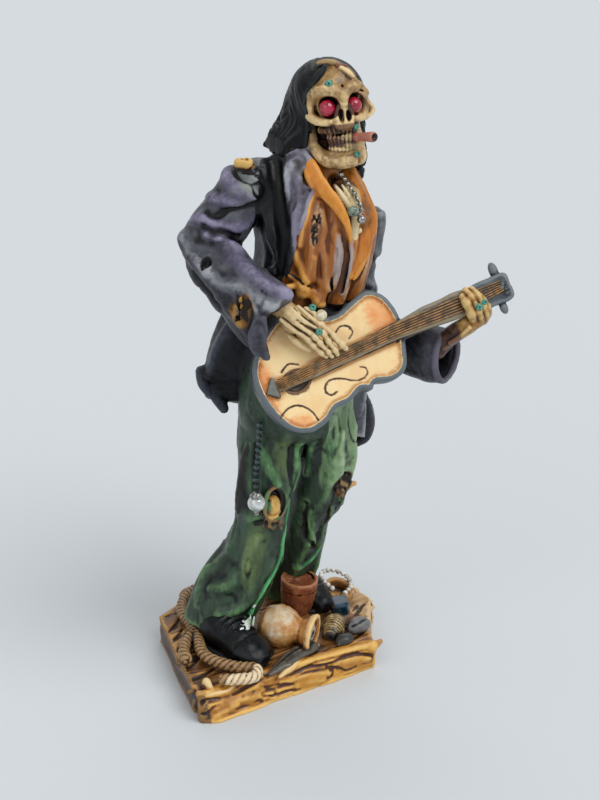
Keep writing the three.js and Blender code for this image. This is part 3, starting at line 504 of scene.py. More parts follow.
# The head: x to the figure's left, -y to the front of the face, z up, from mid-skull
headPlace = partPlace([("Z", -17.5), ("X", -9.2), ("Y", -3.6)], (27.5, -11.9, 279.6))
# The guitar: x along the strings to the pegs, z out of the board
guitarPlace = partPlace([("Z", -25), ("X", 60), ("Z", 19.1)], (1.6, -45, 170.4))


def placed(points, place):
    return array(points) @ place[:3, :3].T + place[:3, 3]


def sided(side, points):
    return [(side * x, *rest) for x, *rest in points]


# Places of teeth along an arch
def toothArch(count, reach, depth, back, height):
    angles = np.radians(np.linspace(-74, 74, count))
    return [(reach * math.sin(a), back - depth * math.cos(a), height) for a in angles]


# Skull, with its open mouth, broken brow, teeth and cigar
def makeSkull():
    clay = Clay((-19, -31, -33), (20, 21, 21), 0.37, 3)
    clay.lump((0, 2, 2.2), (13.2, 15.6, 13.4))
    clay.lump((0, -3.2, 5), (12.2, 13.6, 12.2), 3)
    clay.lump((0, -9.4, -4), (8.8, 8, 8.6), 3)
    clay.lump((0, -10.8, -10.2), (6.8, 6.2, 4), 2)
    clay.lump((0, -6, -16.5), (7, 9.2, 8.6), 1.5)
    for side in (1, -1):
        clay.scoop((side * 15.8, -4, 4), (3.6, 6.4, 6.6), 3)
        clay.stroke(sided(side, [(11.8, -9, 3.4), (9.8, -12, 5), (6.2, -15, 5.9), (3, -16.4, 5.2),
            (0.6, -17.2, 2.8)]), [1.6, 2.1, 2.2, 2, 1.8], 3.4, smooth=16)
        clay.stroke(sided(side, [(11.4, -9.8, 3), (12.5, -9, -1), (12.4, -9.4, -5), (9.8, -12.6, -7.4),
            (6.4, -14.8, -7.8), (3, -16, -6.6)]), [1.6, 1.7, 2.1, 1.9, 1.6, 1.2], 1.6, smooth=20)
        clay.stroke(sided(side, [(12.8, -8.4, -5), (13.8, -4, -4.6), (13.2, 1, -4)]), [1.7, 1.5, 1.1], 1.4,
            smooth=8)
        clay.scoop((side * 6.2, -16.6, -1.4), (4.6, 7, 4.8), 0.9, mask="socket", spread=0.7)
        clay.scoop((side * 9.6, -11.6, -12.6), (3.4, 5, 3.8), 1.2)
    clay.stroke([(0, -17, 3.4), (0, -18, 0.4), (0, -18, -2)], [1.8, 1.8, 1.2], 1.4, smooth=8)
    clay.lump((0, -18.2, 0.2), (1.9, 1.6, 1.5), 0.8)
    for side in (1, -1):
        clay.stroke(sided(side, [(2.2, -17.6, -1.4), (3.4, -17, -5), (3, -17, -8.4)]), [1.1, 1.2, 1.3], 1,
            smooth=8)
    clay.scoop((-1.5, -19, -5.1), (1.15, 3.6, 2.7), 0.4, mask="socket", spread=0.6)
    clay.scoop((1.9, -18.6, -5.6), (1.3, 3.6, 2.3), 0.4, mask="socket", spread=0.6)
    clay.stroke([(0.2, -18.6, -2.6), (0.3, -18, -5), (0.4, -18.2, -8)], [0.5, 0.4, 0.8], 0.4)
    clay.lump((0, -17.2, -10), (4.4, 2, 1.8), 1.2)
    jaw = [(10.4, 1, -8), (10.4, 0, -15), (10, -3, -20.4), (7.8, -9.4, -24), (4.4, -12.6, -25),
        (0, -13.6, -25.2), (-4.4, -12.6, -25), (-8.6, -9.8, -23.6), (-11, -5, -19.4), (-11.2, -3.4, -14),
        (-11, -2, -8)]
    clay.stroke(jaw, [2, 2.3, 2.8, 3.2, 3.5, 3.6, 3.5, 3.2, 2.8, 2.3, 2], 1.2, smooth=48)
    clay.lump((0, -14.6, -25.4), (6, 3.4, 3.3), 1.6)
    clay.lump((7, -12, -25), (3, 3.2, 3.4), 1.6)
    clay.groove([(5.3, -16.6, -22.4), (5.5, -17, -25), (5.4, -16, -28.4)], [0.6, 0.8, 0.6], 0.8,
        mask="groove", spread=1.4)
    gum = [(8.4, -7, -22), (5.4, -12.8, -22), (0, -15.2, -22)]
    clay.stroke(gum + sided(-1, gum)[-2::-1], 1.7, 1, smooth=24)
    gum = [(8, -8, -11.6), (5.2, -13.8, -11.8), (0, -16.2, -11.8)]
    clay.stroke(gum + sided(-1, gum)[-2::-1], 1.7, 1.2, smooth=24)
    clay.scoop((0, -5, -16.8), (9.4, 10.6, 3.2), 1)
    clay.lump((0, -7, -16.8), (5.8, 8, 7.4), 0.8)
    worn = np.random.default_rng(5).uniform(-1, 1, (30, 3))
    for row, (height, length, reach, depth) in enumerate([(-14.7, 2.05, 6.7, 7), (-19, 1.75, 6.1, 6.5)]):
        for tooth, (x, y, z) in enumerate(toothArch(11, reach, depth, -10.4, height)):
            tilt, longer, wide = worn[11 * row + tooth] * (0.35, 0.35, 0.1)
            way = 1 if row else -1
            clay.stroke([(x, y, z - way * 0.6 * length), (x * 0.97, y + 0.3, z + way * 1.1 * length)],
                [0.7, 0.5], 0.5)
            clay.lump((x, y, z + longer), (0.9 + wide, 1.0, length / 1.2), 0.2,
                      axes=turned("Z", math.degrees(math.atan2(x, -(y + 10.4)))).T, mask="tooth", spread=0.8)
            clay.scoop((x + tilt, y - 1.1, z + 1.2 * way), (0.25, 0.4, 0.9), 0.3)
    clay.groove([(0.5, -13, 16), (1.5, -15.2, 12.6), (2.9, -16.4, 10.8), (4.4, -16.2, 9.4)],
        [0.5, 1, 1.1, 0.4], 0.5, mask="socket", smooth=10, spread=0.7)
    clay.stroke([(2.4, -12.2, 14.6), (4.6, -13.8, 12.6), (6.2, -14.2, 10.6), (7.9, -13.6, 7.6)],
        [1, 1.5, 1.4, 1], 1, smooth=10)
    clay.groove([(8.4, -12.4, 9), (8.9, -12.8, 6), (8.2, -14, 4.2)], [0.5, 0.7, 0.5], 0.5, mask="socket",
        smooth=8, spread=0.6)
    clay.stroke([(8.8, -14.4, 5.2), (10.8, -13.8, 4), (12.6, -12, 2.2)], [1.3, 1.7, 1.5], 0.6, mask="flap",
        smooth=8, spread=1)
    clay.stroke([(8.6, -15.4, 3.2), (11, -14.2, 1.8), (12.4, -12.4, 0.4)], [0.9, 1.2, 0.9], 0.4, mask="flap",
        smooth=8, spread=1)
    clay.groove([(9, -16, 4.2), (12.8, -13.4, 2)], [0.4, 0.35], 0.3, mask="socket", spread=0.5)
    clay.stroke([(12.6, -10.6, 0), (14.6, -9.8, -3), (16.6, -9, -6), (12.4, -11.4, -8), (8, -14, -8)],
        [1, 1.2, 0.9, 1.4, 1.4], 1, smooth=14)
    for place, size in (((-4.4, -16.4, 4.6), 0.55), ((-7, -14.6, 4.2), 0.4), ((0.6, -17.2, 7.2), 0.6),
            ((-5, -15.4, 8.8), 2)):
        clay.scoop(place, (size, 1.2, size), 0.3)
    clay.stroke([(-8, -12.4, 7.4), (-10.6, -9, 3.6), (-12.6, -5.6, 0.6), (-13.4, -3, -4)], [1.2, 1.8, 2, 1.6],
        None, mask="flap", smooth=16, spread=2)
    clay.groove([(-11.6, -7.6, 2), (-13, -5, -0.6), (-13.6, -4, -3)], [0.7, 0.9, 0.6], 0.7, smooth=8)
    clay.lump((-1, -13, -11.6), (9.6, 8, 3), None, mask="gums", spread=1.6)
    clay.lump((-11.6, -3.6, -14), (2.4, 3, 4.4), None, mask="shaded", spread=2)
    clay.lump((15, -8.4, -5.8), (1.4, 2, 1.6), 0.8)
    for root in range(9):
        x = 1.75 * root - 7.4
        y = -8 - 7.6 * math.sqrt(max(0, 1 - (x / 8.4) ** 2))
        clay.groove([(x, y - 1.4, -9.6), (x + 0.3, y - 1.6, -13.4)], 0.5, 0.5, mask="mouth", spread=0.6)
    clay.crease((4, 4, 4), 0.07, 0.12, 13)
    clay.roughen(5, 0.3, 11)
    clay.roughen(1.6, 0.07, 12)
    clay.stroke([(3.6, -15.5, -15.6), (7.2, -21.6, -15.4), (9.2, -25.4, -15.3)], [1.9, 2.0, 2.35], 0,
        mask="cigar", smooth=8, spread=0.6)
    clay.scoop((9.9, -27, -15.3), (1.5, 1.4, 1.5), 0.3, mask="ash", spread=1)
    x, y, z = clay.places()
    depth = np.sqrt((x / 9.2) ** 2 + ((y + 6) / 14) ** 2 + ((z + 16.4) / 6.6) ** 2)
    clay.zone("mouth", np.maximum(clay.masks["mouth"], ramp(depth, 1.04, 0.88)))
    # Painted shade: the teeth turn darker towards the back of the mouth and towards the figure's right
    clay.masks["tooth"] *= np.clip((-y - 12.6) / 3, 0.12, 1) * np.clip((x + 6) / 7, 0.15, 1)
    bone = paintedResin("painted bone resin", paints(
        "80603A B08B54 EACD98 38200F", tint="9A7442", pocket=0.7, hollow=0.9, edge=0.5, crest=0.6, rough=0.36,
        mottle=7, varnish=0.2, bump=0.12,
    ), {
        "mouth": paints("2E1912 432419 7A4E34 170D09", edge=0.5, crest=0.1),
        "gums": paints("3E2416 62402A 94704C 1C0E08", edge=0.5, crest=0.2),
        "groove": paints("9A5A2C B4703C CC925C 6A3418"),
        "flap": paints("5A3A20 7E5A34 B8956A 24140C"),
        "socket": paints("2A190F 442B1D 7A5638 0E0806", edge=0.3, crest=0.1),
        "tooth": paints("54402A 80683F C0A87A 24120A", edge=0.4, crest=0.3, hollow=1.3, pocket=0.5),
        "shaded": paints("5A3E22 7A5A34 A88A5C 24140C"),
        "cigar": paints("7A3A2A 9A5040 C07C68 4A2018", edge=0.5),
        "ash": paints("1A1310 241A15 3A2C24 0A0806"),
    })
    clay.skin("skull", bone, headPlace, fine=0.8, wide=2.6)


# Hair: a parted cap and hanging masses, engraved with locks and strands
hairEdge = {
    "height": [-34, -18, -9, -4, 1, 6, 13.4, 18.4], "right": [-13.4, -13.4, -12, -14, -14.4, -12.4, -7, -4.6],
    "left": [12, 12, 12.6, 13, 12.8, 11, 7, 3.4], "back": [-1.5, -1.5, -1.5, -1.5, -2, -4, -7, -9],
}


def makeHair():
    clay = Clay((3, -31, 214), (51, 32, 300), 0.57, 4)
    clay.lump(placed([(-0.9, 1.8, 0.6)], headPlace)[0], (16.8, 19.8, 17.9), axes=headPlace[:3, :3].T)
    fall = limb([(19.4, -6, 287.5, 2.6, 4.5), (17, -6, 282, 4, 7.5), (15, -5.6, 274, 5.2, 9.4),
        (12.8, -5, 267, 6.6, 10.4), (9.8, -4, 260.6, 8.6, 10.6), (6.8, -3, 255.4, 8.6, 9.6)][::-1])
    clay.mesh(fall, 2.5)
    fall = limb([(27.4, -3, 287, 9, 8), (27.2, -2, 279, 15, 10), (27, -1, 268, 16.8, 11.4),
        (27, 2, 252, 17.4, 11.5), (27, 7, 240, 16.6, 9.5), (27, 11.6, 228, 13, 6.5),
        (27, 14, 219, 7, 3.4)][::-1])
    clay.mesh(fall, 2)
    fall = limb([(38, -5, 289, 3.4, 6.6), (40, -7.4, 279, 4.4, 9), (40, -9, 267, 4.8, 9),
        (38.6, -14, 256, 4.4, 7), (36.6, -19.4, 249.5, 3.2, 4.8), (34.6, -22.6, 244, 1.4, 2)][::-1])
    clay.mesh(fall, 2)
    x, y, z = clay.places()
    head = headPlace[:3, :3].T
    origin = headPlace[:3, 3]
    hx, hy, hz = (r[0] * (x - origin[0]) + r[1] * (y - origin[1]) + r[2] * (z - origin[2]) for r in head)
    right, left, back = (np.interp(hz, hairEdge["height"], hairEdge[k]) for k in ("right", "left", "back"))
    window = np.maximum(np.maximum(right - hx, hx - left), np.maximum(hz - 15.8, hy - back))
    window = np.maximum(window, -32 - hz)
    clay.field = -softMin(-clay.field, window.astype(np.float32), 1.2)
    around = np.arctan2(y - 1 + 0 * x, x - 27)
    warp = gridNoise(clay.shape, [14, 14, 34], 21)
    lean = around + 0.2 * warp + 0.01 * (z - 270)
    locks = np.abs(np.sin(7.5 * lean + 0.6)) ** 0.8
    strands = np.abs(np.sin(27 * lean + 3 * warp + 0.04 * z))
    low = np.clip((292 - z) / 26, 0.25, 1)
    clay.field -= ((1.3 * locks + 0.8 * strands - 1.1) * low).astype(np.float32)
    parting = placed([(-3.6, -13.4, 13.4), (-2.4, -9, 17), (-1, 0, 18.8), (-1, 8, 18)], headPlace)
    clay.groove(parting, [0.6, 0.9, 0.9, 0.4], 0.8, smooth=12)
    lock = placed([(-4.4, -10.8, 15.8), (-7, -10.6, 12), (-10.8, -8.4, 6.6), (-13.6, -5, 2)], headPlace)
    clay.stroke(lock, [1.2, 1.9, 1.8, 0.9], 1, smooth=16)
    crown = placed([(-6.4, -8, 17.4), (-3, -9, 17.6), (0.4, -9.6, 16.8), (3, -9.8, 15.6)], headPlace)
    clay.stroke(crown, [0.8, 1.3, 1.3, 0.9], 1, mask="scalp", smooth=12, spread=1)
    crown = placed([(1, -11.6, 15.4), (3.4, -11.4, 14.8), (5.4, -10, 14.4)], headPlace)
    clay.stroke(crown, [1, 1.3, 1], 0.8, mask="red", smooth=8, spread=1.2)
    clay.roughen((3, 3, 8), 0.16, 22)
    hair = paintedResin("black satin hair resin", paints(
        "040506 090B0D 2E363A 020303", tint="101416", edge=0.42, crest=0.0, hollow=0.9, rough=0.3,
        varnish=0.05, gloss=0.25, mottle=7, stretch=(1, 1, 0.35), bump=0.15,
    ), {
        "scalp": paints("54402A 7A6040 A88C60 2E1C10", edge=0.8),
        "red": paints("2A1614 44241E 7A5040 120A08"),
    })
    clay.skin("hair", hair, fine=0.9, wide=3)


# Neck cords, collar bones, ribs and breastbone, seen where the shirt stands open
def makeChest():
    clay = Clay((10, -43, 214), (42, -3, 268), 0.62, 3)
    clay.stroke([(27, -10, 236), (26.6, -12, 250), (27, -10, 264)], [6.4, 4.8, 6], 1, smooth=10)
    for start, end, size in (((22, -18.6, 243), (22.6, -15.6, 258), 1.3),
            ((26, -20.5, 241), (26, -17.4, 257), 1.4), ((30, -19, 242), (29.6, -16, 258), 1.3),
            ((18, -14, 246), (20, -12, 260), 1.3)):
        clay.stroke([start, end], [size, size * 0.8], 1)
    for ring in range(5):
        clay.stroke([(20.6, -17, 247 + 2.6 * ring), (27, -19.4, 246.4 + 2.6 * ring),
            (32, -16, 247 + 2.6 * ring)], 0.6, 0.5, smooth=8)
    clay.lump((25.4, -25, 231), (9.5, 8.4, 16), 2)
    clay.stroke([(18.6, -28, 246), (20.4, -32, 241), (23, -34.6, 235.6)], [0.9, 1.5, 1.3], 1, smooth=12)
    clay.stroke([(21.6, -29, 246), (23.4, -32.6, 241), (25, -34.6, 236)], [0.7, 1.2, 0.9], 1, smooth=12)
    clay.stroke([(24.6, -34, 238), (24.4, -35.6, 230), (23.4, -35.8, 220)], [1.7, 1.9, 1.4], 1.2, smooth=10)
    for rib in range(3):
        z = 234.4 - 4.4 * rib
        clay.stroke([(24.4, -35.4, z), (27, -35, z - 0.4), (29.4, -33, z + 0.6)], [1.2, 1.3, 0.9], 0.8,
            smooth=8)
    clay.roughen(3, 0.25, 31)
    x, y, z = clay.places()
    clay.zone("neck", ramp(z, 239, 244) * ramp(y, -31, -27))
    bone = paintedResin("aged bone resin", paints(
        "A88A54 CFB67E ECDCB0 3E2412", edge=0.6, crest=0.4, rough=0.42, mottle=8, bump=0.15,
    ), {
        "neck": paints("3A2014 5E3822 9A704A 1C0E08", edge=0.7),
    })
    clay.skin("chest_bones", bone, fine=0.8, wide=2.4)


def turnBetween(a, b):
    return (a - b + math.pi) % (2 * math.pi) - math.pi


def smooth(value, low, high):
    t = ramp(value, low, high)
    return t * t * (3 - 2 * t)


# Folds run up a limb: start and end angle in degrees, width, height, and the share they start and stop at
def drape(folds):
    def shape(angle, t):
        out = 0 * angle
        for start, end, width, height, low, high in folds:
            progress = (t - low) / (high - low)
            middle = np.radians(start + (end - start) * progress)
            wave = np.exp(-((turnBetween(angle, middle) / math.radians(width)) ** 2)) * np.sin(math.pi
                * np.minimum(1, progress * 0.9 + 0.1))
            out = out + np.where((progress > 0) & (progress < 1), height * wave, 0)
        return out, 0 * angle

    return shape


# Jacket: body open in front with lapels, tails, bunched sleeves, torn patches and cracks
jacketFolds = [
    (-8, 12, 10, 2.8, 0, 0.8), (-40, -25, 12, 3.6, 0, 0.7), (-75, -60, 13, 3, 0, 0.6),
    (200, 188, 13, 3.4, 0, 0.7), (236, 228, 14, 3.4, 0, 0.7), (270, 270, 12, 2.6, 0, 0.75),
    (176, 172, 18, -2, 0, 0.8), (24, 27, 7, 1, 0.3, 0.85), (300, 310, 16, 1.8, 0.5, 0.95),
    (245, 230, 16, 1.8, 0.5, 0.95),
]


def jacketShape(angle, t):
    out, lift = drape(jacketFolds)(angle, t)
    right = np.radians(-34 + 70 * np.minimum(1, 1.9 * t))
    left = np.radians(152 - 18 * np.minimum(1, 1.9 * t))
    middle, reach = (right + left) / 2, (left - right) / 2
    inside = reach - np.abs(turnBetween(angle, middle))
    opening = smooth(inside, -0.04, 0.14)
    edge = (2 + 1.4 * t) * np.exp(-(((inside + 0.16) / 0.2) ** 2))
    sunk = -(17 - 10.5 * np.minimum(1, 2.2 * t))
    hem = (1 - np.minimum(1, t / 0.35)) ** 1.6
    tails = 8 * np.exp(-((turnBetween(angle, math.radians(160)) / 0.45) ** 2))
    lift = 27 * 0.36 * np.cos(angle) * smooth(t, 0.5, 0.85) + hem * (13 * np.cos(angle - math.radians(10)) - 6
        - tails)
    return opening * sunk + (1 - opening) * (out + edge), lift


jacketBody = [
    (14.5, 3, 131, 41, 28), (14.5, 2, 143, 40.5, 28), (14.8, 0.5, 156, 39.5, 27.5), (17, -1.5, 170, 36, 26),
    (20, -4, 184, 30.5, 23.5), (23, -6, 199, 27.6, 22), (24.4, -7, 213, 29, 23),
    (24, -7.3, 226, 31.5, 23.5), (24, -7.5, 237, 29.5, 21), (26, -8, 246, 20, 16), (27, -8, 253, 11, 11),
]
rightUpperArm = [
    (4, -4, 246, 9, 10), (-6, -3, 246.5, 11, 11), (-13, -1, 242, 11.8, 12), (-15.4, 1.5, 235, 12.2, 12.4),
    (-18, 5, 228, 13.8, 13.8), (-22.4, 10, 219.5, 13.4, 13), (-25.4, 12, 213, 11.4, 10),
    (-25.4, 12, 209, 6, 6),
]
rightForearm = [
    (-27, 19, 222, 5, 5), (-26, 14, 219.5, 11, 11), (-24.5, 4, 213, 12.5, 13), (-23, -8, 206, 12.5, 14),
    (-21.5, -19, 199, 13, 17), (-18.5, -28, 192.5, 11.5, 19.5), (-17.5, -31.5, 190, 9.5, 18.5),
]
leftUpperArm = [
    (29, -7, 232, 8, 9), (35, -9, 228, 10, 11), (38.6, -10.4, 220, 10.6, 12), (41, -11, 206, 10.5, 12),
    (42.5, -9, 192, 10, 12), (44.5, -8, 177, 10, 12), (46, -8, 166, 8, 9),
]
leftForearm = [
    (44, -3, 172, 6, 6), (45, -9, 170, 9.5, 10.5), (48, -22, 166, 10, 12), (53, -34, 164, 10.5, 12.4),
    (58.5, -47, 163.4, 10.8, 13.8), (62.5, -55, 163.8, 9.6, 12.8),
]
lapel = [
    (7.4, -12, 259, 3.6, 2.2), (6.4, -16.6, 255, 5, 2.4), (4.9, -20.2, 250.2, 5.4, 2.4),
    (5.2, -21.2, 244.8, 4.6, 2.3), (4, -22.2, 239.6, 3.3, 2.2), (1.8, -23.2, 234, 2.7, 2.2),
    (0, -24, 228, 2.1, 2), (-0.8, -23.2, 220.4, 1.8, 1.8), (-1.8, -22, 212.6, 1.4, 1.6),
    (-2.4, -20.4, 205, 1, 1.2),
]
sleeveRidges = [  # points, radii, and the colour zone that a ridge is brushed with
    ([(-33, 10, 231), (-30.8, 1.3, 231.6), (-27.4, -4.3, 229.6), (-22.1, -8.9, 228.8), (-15.8, -10.6, 229.6),
    (-11.4, -11, 233.6)], (1.8, 2.9, 3.2, 3.1, 2.7, 1.6), "violet"),
    ([(-26, 8, 241), (-27.5, -1, 241.5), (-22, -8.4, 242), (-14, -12, 243)], (2, 3, 3, 1.8), "violet"),
    ([(-12, 9, 251), (-18.4, 2, 250), (-20, -5, 247), (-16, -10, 245)], (2, 2.4, 2.4, 1.6), "violet"),
    ([(-30.4, -1, 225.4), (-27, -7, 222.6), (-25.4, -16, 218.6), (-24, -26, 213.4), (-20.6, -35.4, 209),
    (-14, -40.6, 205.6)], (2.2, 3, 3.2, 3.2, 3, 2), "violet"), ([(-27.4, -5, 224.6), (-24, -9.6, 223.4),
    (-21.4, -12, 219.6)], (1.6, 2.4, 2), "violet"), ([(-38, 14, 222), (-39, 4, 216), (-36, -6, 209),
    (-32, -14, 204)], (3, 4, 4, 2.4), None), ([(-36, 10, 206), (-35, 0, 200), (-32, -12, 196)],
    (3, 3.6, 2), None), ([(-35.4, -8, 210.4), (-34, -16.7, 207.6), (-29.6, -25.6, 207.4),
    (-25.6, -34.6, 203.4), (-20, -40, 200.4)], (1.6, 2.2, 2, 2, 1.4), None),
    ([(-33, -16, 202), (-32, -25, 194), (-28.6, -32, 185), (-24, -37, 178)], (2, 2.6, 2.6, 2), None),
    ([(34, -19, 236), (43, -17, 226), (47, -12, 216)], (1.6, 2.2, 1.6), None),
    ([(33, -21, 222), (42, -21, 213), (49, -14, 202)], (1.4, 2.2, 1.6), None),
    ([(36, -20, 202), (44, -20, 192), (50, -12, 184)], (1.4, 2.2, 1.6), None),
    ([(36, 2, 228), (44, 0, 218), (49, -4, 206)], (0.8, 2.2, 1.6), None),
    ([(36, 4, 210), (46, 1, 198), (51, -2, 184)], (1.6, 2.4, 1.6), None),
    ([(36, -20, 172), (45, -32, 174), (55, -46, 174)], (1.4, 2.2, 1.8), None),
    ([(48, -8, 160), (58, -24, 156), (66, -40, 153)], (1.8, 2.6, 2), None),
    ([(-4, 14, 232), (-2, 16, 222), (-4, 17, 204)], (0.6, 2.2, 1.4), None),
    ([(10, 14, 235), (14, 16.5, 222), (10, 19, 190)], (0.6, 2.2, 1.8), None),
    ([(36, 11, 230), (34, 15, 220), (38, 16, 196)], (0.6, 2.2, 1.6), None),
    ([(-9, -12, 236), (-9.6, -17, 226), (-9, -19, 214), (-9.6, -19, 202)], (1.2, 1.8, 1.6, 1.2), None),
]
sleeveCreases = [
    ([(-31.4, 1, 228.6), (-28.4, -3.4, 226), (-23.7, -7.4, 225.2), (-19.4, -8, 224)], 1.5),
    ([(-33, 2, 237.5), (-29, -6, 236), (-22, -11.6, 236.4), (-13, -12, 239.5)], 1.1),
    ([(-38, 2, 208), (-35, -8, 202), (-32, -16, 198)], 1.3), ([(-7, -9.4, 253), (-7.6, -14, 244),
    (-8, -16, 232), (-7, -20, 218)], 1.6), ([(38, -22, 228), (46, -19, 219)], 1),
    ([(38, -22, 212), (47, -19, 203)], 1), ([(40, -20, 195), (48, -18, 187)], 1),
]


def makeJacket():
    clay = Clay((-48, -66, 92), (78, 52, 264), 0.82, 4.5)
    clay.mesh(limb(jacketBody, 120, 110, shape=jacketShape), mask="tails", spread=1.6)
    x, y, z = clay.places()
    clay.masks["tails"] *= ramp(z, 206, 180) * np.clip((40 - x) / 4 + ramp(z, 190, 184), 0, 1)
    # Painted shade: the right sleeve darker below a line along its forearm and elbow, and the left forearm
    # darker, where shadow falls
    low = np.clip((np.interp(y, [-34, -8, 14], [202, 213, 226]) - z) / 6, 0, 1) * ramp(x, -10, -14)
    painted_sleeve_shade = np.maximum(low * 0.8, ramp(x, 40, 43) * ramp(y, -13, -18))
    clay.mesh(limb(rightUpperArm, 64, 60), 2.5, grow=-0.9)
    clay.mesh(limb(rightForearm, 64, 60, facing=(0, 0, 1)), 2, grow=-0.8)
    clay.mesh(limb(leftUpperArm, 64, 60), 2.5, grow=-0.7)
    clay.mesh(limb(leftForearm, 64, 60, facing=(0, 0, 1)), 2)
    for points, radii, mask in sleeveRidges:
        clay.fold(points, radii, 0.36, 3.6, mask=mask, spread=3.2)
    for points, radius in sleeveCreases:
        clay.crack(points, radius, 0.45, 1.8)
    clay.scoop((-35.4, -6, 214.4), (2.6, 2.2, 4), 1, mask="inside", spread=1.4)
    clay.groove([(-9, -3, 212), (-11, -10, 214), (-12, -18, 216)], 4.4, 1.5, smooth=10)
    clay.groove([(-1, -10, 255), (-3.8, -15.2, 247), (-4.4, -18.6, 236), (-4, -21, 224), (-4, -21.4, 210),
        (-5, -21, 196)], [3, 3.4, 3.4, 3.4, 3.2, 3.2], 1.6, smooth=30)
    clay.stroke([(-0.6, -9, 256), (-3.6, -12, 247), (-4.6, -14, 236), (-4.4, -16.4, 224), (-4.4, -17, 210),
        (-5.4, -17, 194)], [5, 6.6, 7.4, 7.4, 7.4, 7], None, mask="inside", smooth=30, spread=3)
    leaf = limb(lapel, 56, 70, facing=(-0.55, -0.8, 0.2))
    clay.mesh(leaf, 0.8, mask="lapel", spread=1.6)
    clay.crack([(5, -18, 256.4), (5.6, -20, 252), (6, -22, 247.4), (5.2, -23, 243.6)], [1.2, 2, 2, 1.2], 0.2,
        1.6, mask="grey", spread=1)
    clay.crack([(2, -22, 241), (1.6, -22.6, 235), (0.2, -23.6, 228)], [0.6, 1, 0.6], 0.4, 0.8)
    clay.stroke([(10.4, -16.6, 259), (10.8, -20.6, 256), (10.2, -24, 251), (9.6, -25, 245.6),
        (7, -25.2, 240.6), (4.8, -26, 235.4), (2.2, -26.4, 230), (0.6, -25.4, 223.6), (-0.6, -23.6, 216),
        (-1.8, -21, 206)], [1.2, 1.6, 1.6, 1.4, 1.1, 0.9, 0.8, 0.8, 0.7, 0.6], 1, smooth=40, mask="violet",
        spread=1)
    clay.stroke([(4.4, -11, 259), (2, -14.6, 254), (0, -18.4, 249.4), (1.2, -20.4, 244), (1.4, -20.8, 238.4),
        (-0.4, -21.6, 232.6), (-1.6, -22.4, 225)], [0.8, 1, 1, 0.8, 0.7, 0.7, 0.6], 0.9, smooth=30,
        mask="violet", spread=1.4)
    clay.stroke([(-12.6, -6.4, 256), (-14.6, -3, 255.6)], [2.8, 2.8], 1, mask="bone", spread=0.8)
    for chip in range(3):
        clay.groove([(-15.2 + 1.5 * chip, -8.6, 257.6), (-16 + 1.5 * chip, -1.6, 257.8)], 0.35, 0.3)
    clay.lump((-12, -10, 249), (7, 5.4, 7), None, mask="cracked", spread=3)
    for line in ([(-14.4, 2, 255), (-16.8, -1.2, 251.7), (-17.2, -5.7, 249.1), (-16.4, -9.7, 246.2),
            (-13.9, -12.5, 243.4), (-10.8, -12.6, 241)], [(-15.6, -6.6, 252.4), (-12.6, -9.5, 252.3),
            (-8.3, -8.6, 254.2)], [(-16.4, -9.7, 246.2), (-13, -12, 248), (-9.8, -13.4, 249)],
            [(-12.6, -9.5, 252.3), (-10, -11.6, 250), (-8.6, -12.4, 246.6)],
            [(-9, -8, 256.6), (-11.6, -8.4, 254.8), (-13.6, -7.8, 253)]):
        clay.crack(line, 0.62, 0.7, 0.3, mask="inside", spread=0.7)
    clay.lump((-31.2, -28, 198.8), (5, 4.6, 7.4), None, mask="torn", spread=4)
    clay.masks["torn"] *= np.clip(1 + 0.9 * gridNoise(clay.shape, [4, 4, 5], 45), 0, 1)
    rng = np.random.default_rng(15)
    for rag in range(9):
        spot = array((-32, -28, 199)) + rng.uniform(-1, 1, 3) * (0.6, 3.6, 5.4)
        clay.lump(spot, (1, *rng.uniform(0.8, 2, 2)), 0.8, carve=rag % 3 == 0)
    for tear in range(9):
        start = array((-31, -28, 202)) + rng.uniform(-1, 1, 3) * (1, 4, 4.6)
        run = [start, start + (0, rng.uniform(-1.6, 1), -2.4), start + (0, rng.uniform(-2, 1.4), -5.4)]
        clay.crack(run, [0.4, 0.6, 0.4], 0.7, 0.4)
    clay.stroke([(-28, -31, 205), (-27.4, -34, 199), (-28, -34.4, 194)], 1.1, 0.8, smooth=10)
    ahead, across = unit(array((4, -8, 0.4))), unit(array((8, 4, 0)))
    hollow = [(57, -44.4, 163.6, 6.4, 9), (61.6, -53.4, 163.8, 7.8, 11), (64, -58, 163.9, 8.3, 11.6),
        (70, -70, 164, 8.6, 12)]
    clay.mesh(limb(hollow, 48, 30, facing=(0, 0, 1)), 0.8, carve=True, mask="inside", spread=1.6)
    rim = [array((62.7, -55.6, 163.8)) + 9.2 * math.cos(a) * across + 12.2 * math.sin(a) * array((0, 0, 1))
        + 1.6 * math.cos(a) * ahead for a in np.linspace(0, 2 * math.pi, 25)]
    clay.stroke(rim, 1.1, 1.2, mask="cuff", smooth=60, spread=1)
    clay.groove([(-17, -34, 189), (-15.5, -41, 186.5)], [7, 8.5], 1.2)
    clay.scoop((-19, -36.6, 174.4), (4, 6, 6), 1)
    clay.stroke([(-27, -34, 187), (-26, -35.4, 182), (-24.6, -36.6, 178)], [3, 3, 2], 2.4, smooth=8)
    cuffDrop = [(-26.4, -36.6, 197, 2.2, 1.5), (-28, -36.8, 191, 4.2, 2), (-29, -36.8, 185, 4, 2),
        (-28.6, -36, 179, 1.6, 1.4)]
    clay.mesh(limb(cuffDrop, 32, 30, facing=(-0.5, -0.85, 0.1)), 2)
    clay.stroke([(-25, 16, 152), (-27.4, 11, 148.6), (-26.8, 8, 144.4)], [3, 2.6, 1.8], 2, smooth=8,
        mask="tails", spread=1)
    clay.stroke([(-20, 16, 142), (-17.6, 14, 137), (-15.4, 12.6, 132)], [3, 3, 2.2], 2, smooth=8,
        mask="tails", spread=1)
    clay.stroke([(54, 0, 128), (58, 2, 118), (61, 4, 108), (60.6, 5, 101), (56.6, 5, 97)],
        [4, 5, 5.6, 4.6, 2.4], 2.4, smooth=16, mask="tails", spread=1)
    clay.crease((9, 9, 13), 0.07, 0.6, 43)
    clay.crease((5, 5, 6), 0.05, 0.3, 44)
